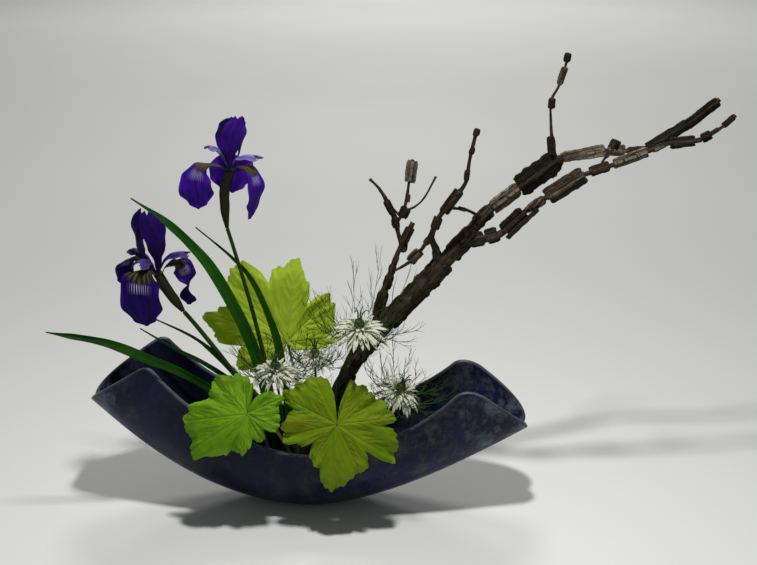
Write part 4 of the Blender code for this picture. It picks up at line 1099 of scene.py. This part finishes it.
def build_iris(name, iris, paints):
    for number, plan in enumerate(iris["falls"], 1):
        bm = petal(iris["centre"], plan, FALL_WIDTHS, FALL_HOLLOW, ruffle=1.9, waves=3.2)
        node = f"{name}_fall_{number}"
        paint = paints["back_fall"] if plan["azimuth"] == BACK_AZIMUTH else paints["fall"]
        piece(f"{node}_petal", bm, paint, "fall_petal", node, wall=PETAL_WALL)
    for number, plan in enumerate(iris["standards"], 1):
        bm = petal(iris["centre"], plan, STANDARD_WIDTHS, STANDARD_HOLLOW, ruffle=1.5, waves=2.4, notch=0.06)
        node = f"{name}_standard_{number}"
        piece(f"{node}_petal", bm, paints["standard"], "standard_petal", node, wall=PETAL_WALL)
    for number, plan in enumerate(iris["styles"], 1):
        bm = petal(
            iris["centre"], plan, STYLE_WIDTHS, STYLE_HOLLOW, ruffle=1.5, notch=0.17, fringe=0.045, rows=44
        )
        node = f"{name}_style_arm_{number}"
        piece(f"{node}_crest", bm, paints["style"], "style_arm", node, wall=STYLE_WALL)
    spathe = Route(iris["spathe"])
    body = tube(spathe, iris["spathe_radii"], 28, 40, lambda turn, t: 0.94 + 0.03 * math.cos(turn * 9))
    piece(f"{name}_spathe_tube", body, paints["spathe"], "spathe", f"{name}_spathe")
    inner = [iris["spathe_radii"][0] - 0.3, *(radius + 0.45 for radius in iris["spathe_radii"][1:])]
    outer = [inner[0] + 0.1, *(radius + 0.4 for radius in inner[1:])]
    bracts = [
        sheath(spathe, inner, [(0, 200), (0.5, 190), (0.8, 110), (1, 6)], 20, 1.12),
        sheath(spathe, outer, [(0, 210), (0.4, 200), (0.75, 100), (1, 6)], 215, 0.94),
    ]
    piece(f"{name}_spathe_bracts", gather(bracts), paints["spathe"], "spathe", wall=BRACT_WALL)
    stalk = Route(iris["stalk"])
    body = tube(stalk, iris["stalk_radii"], 20, 130, lambda turn, t: 1 + 0.02 * math.cos(turn * 7))
    piece(f"{name}_stem", body, paints["stalk"], "iris_stalk", f"{name}_stalk")
    x, y, z = iris["centre"]
    throat = Route([(x, y, z - 3.5), (x, y, z - 1), (x, y, z + 0.6), (x, y, z + 1.6)], 4)
    piece(f"{name}_throat", tube(throat, [2.6, 3.4, 4.6, 3.2], 24, 16), paints["stalk"], "iris_stalk")


def build_irises():
    stalk = living_green("iris_stalk", (0.011, 0.034, 0.003), (0.026, 0.066, 0.006), 0.5, 14)
    spathe = living_green("spathe", (0.012, 0.013, 0.007), (0.03, 0.03, 0.015), 0.6, 16, 0.05)
    tall = {
        "fall": iris_petal(
            "tall_fall_petal", (0.034, 0.003, 0.22), (0.075, 0.01, 0.46), (0.11, 0.025, 0.55),
            haft=(0.44, 0.52), signal=(0.5, 0.62),
        ),
        # The fall behind is a lighter copy of the fall's colours: painted light, standing in for the light
        # shining through it.
        "back_fall": iris_petal(
            "sunlit_fall_petal", (0.08, 0.012, 0.32), (0.16, 0.03, 0.5), (0.2, 0.05, 0.6),
            haft=(0.3, 0.42), glow=0.6,
        ),
        "standard": iris_petal(
            "tall_standard", (0.027, 0.002, 0.15), (0.052, 0.006, 0.28), (0.07, 0.012, 0.34)
        ),
        "style": style_petal("tall_style_arm", (0.27, 0.22, 0.55), (0.44, 0.39, 0.68), (0.12, 0.085, 0.36)),
        "spathe": spathe,
        "stalk": stalk,
    }
    # The low iris has darker copies of the tall iris's colours: painted shade, as it stands lower, under the
    # tall iris and the arching leaf.
    low = {
        "fall": iris_petal(
            "low_fall_petal", (0.01, 0.001, 0.08), (0.024, 0.003, 0.19), (0.045, 0.01, 0.27),
            haft=(0.44, 0.52), signal=(0.52, 0.62),
        ),
        "standard": iris_petal(
            "low_standard", (0.011, 0.001, 0.075), (0.024, 0.003, 0.15), (0.035, 0.006, 0.2)
        ),
        "style": style_petal("low_style_arm", (0.075, 0.045, 0.26), (0.13, 0.09, 0.36), (0.028, 0.014, 0.14)),
        "spathe": spathe,
        "stalk": stalk,
    }
    build_iris("tall_iris", TALL_IRIS, tall)
    build_iris("low_iris", LOW_IRIS, low)


# ---------------------------------------------------------------- sword leaves

LEAF_FACE = Vector((0, -1, 0.25))  # the side that the sword leaves turn their faces to
# Each leaf: its midline in mm from its foot, and its half widths in mm along it.
SWORD_LEAVES = {
    "sword_leaf_arching": (
        [
            (-21, -6, 22.3), (-25, -6, 66), (-31, -6, 112), (-44, -6, 158), (-67, -4, 206), (-85, 0, 229),
            (-108, 4, 250), (-136, 10, 267),
        ],
        [(0, 3.0), (0.3, 5.0), (0.55, 4.9), (0.8, 3.4), (1, 0.5)],
    ),
    "sword_leaf_low": (
        [
            (-26.5, -11, 22.3), (-34, -13, 58), (-48, -16, 88), (-72, -20, 111), (-96, -30, 132),
            (-117, -40, 147), (-150, -48, 165), (-194, -55, 176),
        ],
        [(0, 2.2), (0.35, 2.6), (0.6, 3.4), (0.78, 4.0), (0.93, 2.4), (1, 0.4)],
    ),
    "sword_leaf_behind": (
        [
            (-11, 14, 22.3), (-14, 14, 76), (-20, 15, 132), (-28, 18, 161), (-42, 20, 194), (-58, 22, 213),
            (-88, 26, 238),
        ],
        [(0, 2.4), (0.35, 3.6), (0.6, 2.4), (0.8, 1.3), (1, 0.4)],
    ),
    "sword_leaf_crossing": (
        [
            (-24, 4, 22.3), (-30, 3, 62), (-42, 1, 96), (-56, 0, 117), (-75, 0, 138), (-93, 0, 152),
            (-125, -2, 169),
        ],
        [(0, 2.4), (0.4, 3.0), (0.6, 2.4), (0.8, 1.2), (1, 0.4)],
    ),
    "sword_leaf_inner": (
        [
            (-24, 12.5, 22.3), (-34, 13, 60), (-50, 13, 90), (-67, 13, 108), (-89, 17, 121),
            (-112, 21, 131), (-141, 25, 147),
        ],
        [(0, 2.2), (0.4, 2.6), (0.7, 1.8), (0.9, 0.9), (1, 0.4)],
    ),
}
SWORD_FOLD = 0.22  # how far the edges stand in front of the midrib, as a share of the half width
SWORD_RIBS = 9
SWORD_RIB_HEIGHT, SWORD_BOW = 0.09, 0.35
SWORD_WALL = 0.6


def sword_leaf(midline, widths):
    """A leaf folded along its midrib, with fine ribs along it."""
    line = through([Vector(p) * MM for p in midline], 10)

    def place(s, t):
        s = 2 * s - 1
        point, forward, _, _ = on_line(line, t)
        side = forward.cross(LEAF_FACE).normalized()
        face = side.cross(forward)
        half = along(widths, t) * MM
        rib = SWORD_RIB_HEIGHT * MM * math.cos(s * math.pi * SWORD_RIBS) * min(1.0, half / (3 * MM))
        bow = noise.noise(Vector((s, t * 9, midline[0][0]))) * SWORD_BOW * MM
        return point + side * half * s + face * (half * SWORD_FOLD * abs(s) + rib + bow)

    return crisp_edges(grid(36, 150, place))


def build_sword_leaves():
    bright = living_green(
        "sword_leaf", (0.008, 0.06, 0.004), (0.032, 0.17, 0.008), 0.42, SWORD_RIBS, 0.3, (0.05, 0.12, 0.03)
    )
    dark = living_green(
        "shaded_sword_leaf", (0.006, 0.034, 0.004), (0.018, 0.09, 0.008), 0.46,
        SWORD_RIBS, 0.2, (0.04, 0.1, 0.03),
    )
    for name, (midline, widths) in SWORD_LEAVES.items():
        paint = dark if name in ("sword_leaf_inner", "sword_leaf_crossing") else bright
        piece(f"{name}_blade", sword_leaf(midline, widths), paint, "sword_leaf", name, wall=SWORD_WALL)


# ---------------------------------------------------------------- coral-bell leaves

BLADE_HOLE = 0.2  # mm, where the two edges meet at the stalk's end
BLADE_WALL = 0.45
# How high, in mm, a blade swells between its veins, waves along its edge, sags and curls its edge.
QUILT, FRILL, SAG, CURL = 1.25, 4.2, 3.0, 2.6

# Each leaf: where blade meets stalk, where the middle lobe points, which way it faces (all mm), its
# outline as (angle in degrees from the middle lobe, reach in mm), the ends of its main veins likewise,
# its droop and its stalk's route.
CORAL_LEAVES = {
    "coral_leaf_left": {
        "joint": (-38, -60, 110),
        "tip": (-0.72, -0.16, -0.68),
        "face": (-0.1, -0.93, 0.36),
        "outline": [
            (-150, 8), (-143, 25), (-128, 30), (-115, 33), (-104, 34), (-92, 40.5), (-84, 38), (-70, 35),
            (-61, 36), (-48, 49), (-33, 55), (-24, 53), (-12, 56.5), (-3, 59.5), (4, 48), (9, 43),
            (17, 40), (22, 32), (37, 34), (50, 28), (57, 21), (76, 25), (95, 18), (107, 27),
            (120, 27), (149, 25), (161, 31.5), (180, 26), (198, 17), (208, 8),
        ],
        "veins": [(-128, 28), (-90, 38), (-36, 52), (-10, 56), (32, 33), (76, 24), (113, 26), (162, 30)],
        "droop": 0.1,
        "stalk": [(-10, -13, 22.3), (-11, -24, 56), (-18, -40, 86), (-30, -53, 105), (-37.2, -57.8, 109)],
    },
    "coral_leaf_centre": {
        "joint": (33.6, -60, 102),
        "tip": (-0.03, -0.26, -0.97),
        "face": (0.05, -0.95, 0.28),
        "outline": [
            (-174, 14), (-171, 27), (-165, 35.5), (-154, 42), (-142, 43), (-130, 45), (-117, 49),
            (-111, 47), (-106, 36), (-99, 39), (-89, 44), (-78, 44), (-65, 45.5), (-60, 36), (-55, 33),
            (-50, 24), (-42, 31), (-34, 37), (-20, 39), (-14, 49), (-6, 54), (-2, 57), (6, 51),
            (15, 48.5), (22, 43), (33, 45), (44, 37), (48, 33), (53, 49), (57, 57), (66, 52), (77, 51),
            (85, 45), (90, 39), (94, 47), (109, 43), (127, 37), (146, 37), (158, 35.5), (165, 36),
            (170, 24), (174, 14),
        ],
        "veins": [
            (-152, 41), (-115, 47), (-76, 43), (-30, 37), (-4, 55), (27, 43), (59, 55), (99, 46),
            (136, 37), (163, 35),
        ],
        "droop": 0.12,
        "stalk": [(15, -12, 22.3), (18, -24, 54), (25, -40, 80), (32, -53, 98), (33.4, -58.0, 101)],
    },
    "coral_leaf_back": {
        "joint": (-20, 62, 120),
        "tip": (-0.3, 0.18, 0.93),
        "face": (0.1, -0.96, 0.2),
        "outline": [
            (-150, 9), (-136, 14), (-122, 25), (-114, 37), (-105, 46), (-98, 48.5), (-84, 45.5),
            (-76, 52), (-65, 56), (-58, 59), (-52, 51), (-46, 41), (-42, 50), (-37, 58), (-31, 67),
            (-26, 75), (-20, 74), (-14, 70), (-8, 66), (-2, 57), (2, 70), (6, 76), (10, 83), (14, 86),
            (18, 83), (22, 77), (27, 74), (32, 77), (36, 66), (39, 61), (43, 67), (47, 71), (51, 77),
            (58, 72), (66, 63), (72, 59), (77, 41), (84, 43), (94, 49), (102, 47.5), (112, 42),
            (118, 35), (127, 25), (150, 20),
        ],
        "veins": [(-101, 46), (-62, 56), (-24, 73), (12, 84), (31, 74), (50, 75), (97, 48), (140, 20)],
        "droop": -0.1,
        "stalk": [(2, 15, 22.3), (-3, 28, 54), (-9, 46, 86), (-16, 61, 106), (-19.2, 65, 117.6)],
    },
}
# The colours of each blade: deep, light, flush and vein. The back blade's are painted lighter, standing in
# for the light shining through it from behind.
LIME_COLOURS = {
    "coral_leaf_left": [(0.11, 0.27, 0.005), (0.26, 0.52, 0.012), (0.34, 0.62, 0.02), (0.34, 0.52, 0.05)],
    "coral_leaf_centre": [(0.15, 0.28, 0.004), (0.28, 0.43, 0.008), (0.3, 0.34, 0.006), (0.36, 0.5, 0.03)],
    "coral_leaf_back": [(0.34, 0.5, 0.018), (0.54, 0.72, 0.06), (0.6, 0.72, 0.08), (0.42, 0.54, 0.05)],
}


def tooth(angle):
    """The blade's toothed edge, as a share of its reach: broad scallops with small points on them."""
    wander = noise.noise(Vector((angle / 19, 3.3, 0))) * 5
    broad = abs(math.sin((angle + wander) / 15.5 * math.pi))
    fine = abs(math.sin((angle - wander) / 5.2 * math.pi))
    return 0.925 + 0.075 * broad**0.7 + 0.028 * fine**0.6


def leaf_veins(ends, rng):
    """The veins by main vein, as (start, end, width) in mm on the flat blade: each forks again and again."""
    veins = {}
    for middle, reach in ends:
        turn = math.radians(middle)
        axis = Vector((math.cos(turn), math.sin(turn)))
        found = [(Vector((0, 0)), axis * reach, 0.7)]
        at = 0.2
        while at < 0.9:
            for way in (-1, 1):
                start = axis * reach * (at + rng.uniform(-0.04, 0.04))
                lean = Matrix.Rotation(math.radians(way * rng.uniform(34, 50)), 2)
                span = reach * (0.36 - 0.28 * at) * rng.uniform(0.8, 1.15)
                elbow = start + lean @ axis * span * 0.5
                tilt = Matrix.Rotation(math.radians(way * rng.uniform(14, 30)), 2)
                found.append((start, elbow, 0.4))
                found.append((elbow, elbow + tilt @ axis * span * 0.6, 0.34))
            at += rng.uniform(0.1, 0.16)
        veins[middle] = found
    return veins


def distance_to_line(point, start, end):
    span = end - start
    share = max(0.0, min(1.0, (point - start).dot(span) / span.length_squared))
    return (point - start - span * share).length, share


def coral_blade(plan, seed):
    """A lobed blade, quilted between its veins; polar rows run out from where the stalk meets it."""
    tip = Vector(plan["tip"]).normalized()
    side = Vector(plan["face"]).cross(tip).normalized()
    face = tip.cross(side).normalized()
    joint = Vector(plan["joint"]) * MM
    outline = plan["outline"]
    first, last = outline[0][0], outline[-1][0]
    length = max(reach for _, reach in outline)
    veins = leaf_veins(plan["veins"], random.Random(seed))
    wild = Vector((seed * 3.3, seed * 1.7, 0))

    def flat(s, t):
        angle = first + (last - first) * s
        share = 1 - (1 - t) ** 1.25
        edge = along(outline, angle) * (1 + (tooth(angle) - 1) * share**2)
        return angle, BLADE_HOLE + (edge - BLADE_HOLE) * share, share

    def nearest_vein(angle, reach):
        turn = math.radians(angle)
        point = Vector((math.cos(turn) * reach, math.sin(turn) * reach))
        strength, clearance = 0.0, 9.0
        for middle, lines in veins.items():
            if abs((angle - middle + 180) % 360 - 180) > 40:
                continue
            for start, end, width in lines:
                away, share = distance_to_line(point, start, end)
                width *= 1 - 0.5 * share
                strength = max(strength, math.exp(-((away / width) ** 2)) * min(1.0, width * 1.8))
                clearance = min(clearance, away)
        return strength, clearance

    known = {}

    def read(s, t):
        key = (round(s, 5), round(t, 5))
        if key not in known:
            angle, reach, _ = flat(s, t)
            known[key] = nearest_vein(angle, reach)
        return known[key]

    def place(s, t):
        angle, reach, share = flat(s, t)
        turn = math.radians(angle)
        strength, clearance = read(s, t)
        bend = -plan["droop"] * reach * reach / length
        crease = 0.035 * reach * math.cos(turn * 7.5)
        quilt = QUILT * (1 - math.exp(-clearance / 2.0)) * min(1.0, share * 2) - 0.45 * strength
        frill = noise.noise(wild + Vector((angle / 11, share * 1.5, 0))) * FRILL * share**2.2
        sag = noise.noise(wild + Vector((math.cos(turn), math.sin(turn), share)) * 1.6) * SAG * share
        curl = -CURL * max(0.0, share - 0.86) / 0.14 * (1 + noise.noise(wild + Vector((angle / 7, 5, 1))))
        across, out = math.sin(turn) * reach, math.cos(turn) * reach
        return joint + (tip * out + side * across + face * (bend + crease + quilt + frill + sag + curl)) * MM

    def flushed(s, t):
        angle, _, share = flat(s, t)
        turn = math.radians(angle)
        cloud = noise.noise(wild + Vector((math.cos(turn), math.sin(turn), share)) * 2.4)
        return max(0.0, min(1.0, 0.75 - share * 0.6 + cloud * 0.8))

    marks = [("vein", lambda s, t: read(s, t)[0]), ("flush", flushed)]
    return crisp_edges(grid(420, 34, place, marks))


def build_coral_leaves():
    stalk_paint = living_green("lime_leaf_stalk", (0.1, 0.12, 0.03), (0.26, 0.3, 0.1), 0.5, 10)
    for seed, (name, plan) in enumerate(CORAL_LEAVES.items(), 1):
        blade = coral_blade(plan, seed)
        paint = lime_leaf(name.replace("coral", "lime"), *LIME_COLOURS[name])
        piece(f"{name}_lobed_blade", blade, paint, "lime_leaf", f"{name}_blade", wall=BLADE_WALL)
        route = Route([*plan["stalk"], plan["joint"]])
        stem = tube(route, [1.5, 1.3, 1.15, 1.0], 14, 90, lambda turn, t: 1 + 0.04 * math.cos(turn * 5))
        piece(f"{name}_petiole", stem, stalk_paint, "lime_leaf_stalk", f"{name}_stalk")


# ---------------------------------------------------------------- love-in-a-mist

# Each flower: where its petals spring from (mm), its lean (degrees), its radius (mm) and its stalk.
MIST_FLOWERS = {
    "mist_upper": {
        "base": (50, -36, 172.5),
        "turn": (8, 4, 0),
        "radius": 26,
        "stalk": [(21, -5, 22.3), (25, -13, 70), (33, -25, 124), (42, -33, 150), (49.6, -35.4, 166.8)],
    },
    "mist_left": {
        "base": (-17.6, -33, 133.5),
        "turn": (6, -2, 20),
        "radius": 21,
        "stalk": [(-18.5, -14, 22.3), (-14, -20, 66), (-15, -28, 104), (-17.4, -32.6, 128)],
    },
    "mist_right": {
        "base": (81.5, -32, 117),
        "turn": (24, 6, 40),
        "radius": 21,
        "stalk": [(26, -11, 22.3), (40, -16, 62), (62, -22, 92), (76, -28, 107), (80.8, -29.6, 112)],
    },
    "mist_rear": {
        "base": (8, 32, 116),
        "turn": (-6, 0, 10),
        "radius": 17,
        "stalk": [(6, 16.4, 22.3), (9, 23, 52), (9, 29, 84), (8.2, 31.5, 110.4)],
    },
}
# Whorls of petals: how many, their share of the flower's radius, their rise and their droop in mm.
WHORLS = [
    (19, 1.0, 2.0, 7.5),
    (19, 0.95, 3.0, 5.5),
    (18, 0.87, 4.2, 3.5),
    (16, 0.74, 5.4, 1.0),
    (12, 0.5, 7.0, -2.0),
]
BRACTS = 19
MIST_PETAL_WALL = 0.25
MIST_PETAL_ROOT = 2.2  # mm from the flower's axis, where petals and bracts begin
STAMENS = 26
STAMEN_ROOT = 2.4


def mist_petal(turn, reach, rise, droop, width, rng):
    """A narrow pointed petal that springs from the flower's axis."""
    spread = Matrix.Rotation(turn, 3, "Z")
    lean, roll = rng.uniform(-0.2, 0.2), rng.uniform(-0.7, 0.7)
    wild = rng.uniform(0, 99)
    profile = [(0, 0.4), (0.2, 0.6), (0.5, 1.0), (0.78, 0.9), (0.9, 0.5), (1, 0.06)]

    def place(s, t):
        s = 2 * s - 1
        half = width * along(profile, t)
        out = MIST_PETAL_ROOT + (reach - MIST_PETAL_ROOT) * t
        height = rise * math.sin(min(1.0, t * 1.4) * math.pi / 2) - droop * t * t
        cup = 0.22 * half * s * s + noise.noise(Vector((s * 1.5, t * 3, wild))) * 0.8 * t
        left = half * s + lean * out
        return spread @ Vector((out, left, height + cup + roll * half * s)) * MM

    return crisp_edges(grid(6, 12, place))


def thread(start, direction, length, rise, thickness, rng, rows=7):
    """A fine tapering thread, as (its route, its mesh): it curls upwards by rise, a share of its length."""
    points = []
    sway = Vector((rng.uniform(-1, 1), rng.uniform(-1, 1), 0)) * length * 0.09
    for step in range(4):
        share = step / 3
        bend = UP * rise * length * share * share + sway * math.sin(share * math.pi)
        points.append(start + direction * length * share + bend)
    route = Route(points, 3)
    return route, tube(route, [thickness, thickness * 0.75, thickness * 0.35], 5, rows)


def feathery_bract(turn, reach, rise, rng):
    """A bract cut into long threads: a main one, side threads along it, and finer ones on those."""
    outward = Vector((math.cos(turn), math.sin(turn), rng.uniform(-0.3, 0.1))).normalized()
    main, mesh = thread(outward * MIST_PETAL_ROOT - UP * 3.8, outward, reach, rise, 0.32, rng, 14)
    meshes = [mesh]
    for number in range(6):
        point, forward, _, _ = main.at(0.22 + 0.12 * number + rng.uniform(-0.03, 0.03))
        aside = Matrix.Rotation((1 if number % 2 else -1) * rng.uniform(0.35, 0.75), 3, UP) @ forward
        aside = (aside + UP * rng.uniform(-0.25, 0.6)).normalized()
        length = reach * rng.uniform(0.26, 0.46)
        side, mesh = thread(point / MM, aside, length, rng.uniform(0.0, 0.35), 0.25, rng)
        meshes.append(mesh)
        for fork in range(2):
            point, forward, _, _ = side.at(0.35 + 0.28 * fork)
            turned = Matrix.Rotation((1 if fork % 2 else -1) * rng.uniform(0.4, 0.8), 3, UP) @ forward
            turned = (turned + UP * rng.uniform(-0.3, 0.5)).normalized()
            fine = length * rng.uniform(0.4, 0.6)
            meshes.append(thread(point / MM, turned, fine, rng.uniform(0, 0.3), 0.19, rng, 5)[1])
    return meshes


def stem_threads(route, rng, lowest):
    """Leaves cut into threads along the upper part of a stalk."""
    meshes = []
    for number in range(6):
        point, forward, side, up = route.at(lowest + (0.97 - lowest) * number / 6)
        turn = number * 2.4 + rng.uniform(-0.3, 0.3)
        outward = (side * math.cos(turn) + up * math.sin(turn) + forward * 0.8).normalized()
        length = rng.uniform(18, 32)
        main, mesh = thread(point / MM, outward, length, 0.15, 0.22, rng, 8)
        meshes.append(mesh)
        for fork in range(4):
            start, onward, _, _ = main.at(0.3 + 0.16 * fork)
            aside = Matrix.Rotation((1 if fork % 2 else -1) * rng.uniform(0.5, 0.9), 3, UP) @ onward
            meshes.append(thread(start / MM, aside, length * rng.uniform(0.3, 0.5), 0.1, 0.15, rng, 5)[1])
    return meshes


def seed_head(rng):
    """A ribbed green capsule crowned by five long curling horns."""
    profile = [(0, 2.2), (0.15, 2.8), (0.5, 4.1), (0.8, 3.4), (1, 1.4)]

    def place(turn, t):
        radius = along(profile, t) * (1 + 0.1 * math.cos(turn * 5) * eased(t * 2))
        return Vector((math.cos(turn) * radius, math.sin(turn) * radius, 2.2 + t * 9.3)) * MM

    meshes = [rolled(30, 24, place)]
    for number in range(5):
        turn = number * math.tau / 5
        out = Vector((math.cos(turn), math.sin(turn), 0))
        curl = rng.uniform(0.7, 1.3)
        points = [
            out * 1.3 + UP * 10.5,
            out * 1.6 + UP * 14,
            out * 2.4 * curl + UP * 17.5,
            out * 4.4 * curl + UP * 19.5,
            out * 6.2 * curl + UP * 18.4,
        ]
        meshes.append(tube(Route(points, 4), [0.62, 0.55, 0.45, 0.35, 0.2], 7, 16))
    return meshes


def stamens(rng):
    """A ring of fine filaments with small anthers between the petals and the capsule."""
    meshes = []
    for number in range(STAMENS):
        turn = number * math.tau / STAMENS + rng.uniform(-0.08, 0.08)
        out = Vector((math.cos(turn), math.sin(turn), 0))
        reach, height = rng.uniform(4.5, 8), rng.uniform(5, 9)
        points = [
            out * STAMEN_ROOT + UP * 1.6,
            out * (STAMEN_ROOT + reach * 0.35) + UP * height,
            out * (STAMEN_ROOT + reach) + UP * (height - 1),
        ]
        meshes.append(tube(Route(points, 3), [0.2, 0.16, 0.14], 5, 6))
        anther = bmesh.new()
        anther.loops.layers.uv.new("UVMap")
        bmesh.ops.create_uvsphere(anther, u_segments=6, v_segments=4, radius=0.55 * MM, calc_uvs=True)
        bmesh.ops.scale(anther, vec=(0.7, 0.7, 1.5), verts=anther.verts)
        bmesh.ops.translate(anther, vec=points[-1] * MM, verts=anther.verts)
        meshes.append(anther)
    return meshes


def build_mist_flower(name, plan, paints, seed):
    rng = random.Random(seed)
    turn = Matrix.Identity(4)
    for axis, angle in zip("XYZ", plan["turn"]):
        turn = Matrix.Rotation(math.radians(angle), 4, axis) @ turn
    place = Matrix.Translation(Vector(plan["base"]) * MM) @ turn
    radius = plan["radius"]
    petals = []
    for whorl, (count, share, rise, droop) in enumerate(WHORLS):
        for number in range(count):
            around = (number + 0.5 * whorl) * math.tau / count + rng.uniform(-0.1, 0.1)
            reach = radius * share * rng.uniform(0.9, 1.06)
            width = radius * rng.uniform(0.045, 0.08) * (1 - 0.08 * whorl)
            petals.append(mist_petal(around, reach, rise, droop + rng.uniform(-2, 3), width, rng))
    bracts = []
    for number in range(BRACTS):
        around = (number + 0.5) * math.tau / BRACTS + rng.uniform(-0.15, 0.15)
        high = number % 3 != 0
        forward = max(0.0, -(turn @ Vector((math.cos(around), math.sin(around), 0))).y)
        reach = radius * rng.uniform(1.45, 2.2) * (1 - 0.5 * forward)
        rise = rng.uniform(0.5, 1.0) if high else rng.uniform(0.0, 0.35)
        bracts += feathery_bract(around, reach, rise, rng)
    made = {
        "petals": (gather(petals), paints["white"], "white_petal", MIST_PETAL_WALL),
        "bracts": (gather(bracts), paints["mist"], "mist_green", 0),
        "seed_head": (gather(seed_head(rng)), paints["pod"], "seed_head", 0),
        "stamens": (gather(stamens(rng)), paints["anther"], "white_petal", 0),
    }
    for part, (bm, paint, slot, wall) in made.items():
        bmesh.ops.transform(bm, matrix=place, verts=bm.verts)
        nodes = [] if part == "stamens" else [f"{name}_{part}"]
        piece(f"{name}_{part}_fine", bm, paint, slot, *nodes, wall=wall)
    route = Route(plan["stalk"])
    stem = tube(route, [1.1, 1.1, 1.0], 12, 80, lambda turn, t: 1 + 0.05 * math.cos(turn * 6))
    leaves = stem_threads(route, rng, 0.6)
    piece(f"{name}_stem", gather([stem, *leaves]), paints["mist"], "mist_green", f"{name}_stalk")


def build_mist_flowers():
    paints = {
        "white": white_petal(),
        "mist": living_green("mist_green", (0.012, 0.04, 0.004), (0.045, 0.105, 0.012), 0.55, 6),
        "pod": living_green("seed_head", (0.02, 0.055, 0.01), (0.05, 0.11, 0.025), 0.45, 10),
        "anther": living_green("anther", (0.2, 0.25, 0.13), (0.42, 0.48, 0.3), 0.5, 5),
    }
    for seed, (name, plan) in enumerate(MIST_FLOWERS.items(), 31):
        build_mist_flower(name, plan, paints, seed)


# ---------------------------------------------------------------- the arrangement


def stems_at_holder():
    """What stands on the pin holder: the middle of each foot in plan, and its radius."""
    feet = [(MAIN_LIMBS["trunk"][0], 6.0), (SIDE_LIMBS["stem"][0], 3.0)]
    feet += [(iris["stalk"][0], 2.5) for iris in (TALL_IRIS, LOW_IRIS)]
    feet += [(midline[0], widths[0][1]) for midline, widths in SWORD_LEAVES.values()]
    feet += [(plan["stalk"][0], 1.5) for plan in (*CORAL_LEAVES.values(), *MIST_FLOWERS.values())]
    return [(Vector(foot[:2]) * MM, radius * MM) for foot, radius in feet]


place_camera()
light_the_table()
build_bowl()
build_kenzan(stems_at_holder())
build_branches()
build_irises()
build_sword_leaves()
build_coral_leaves()
build_mist_flowers()
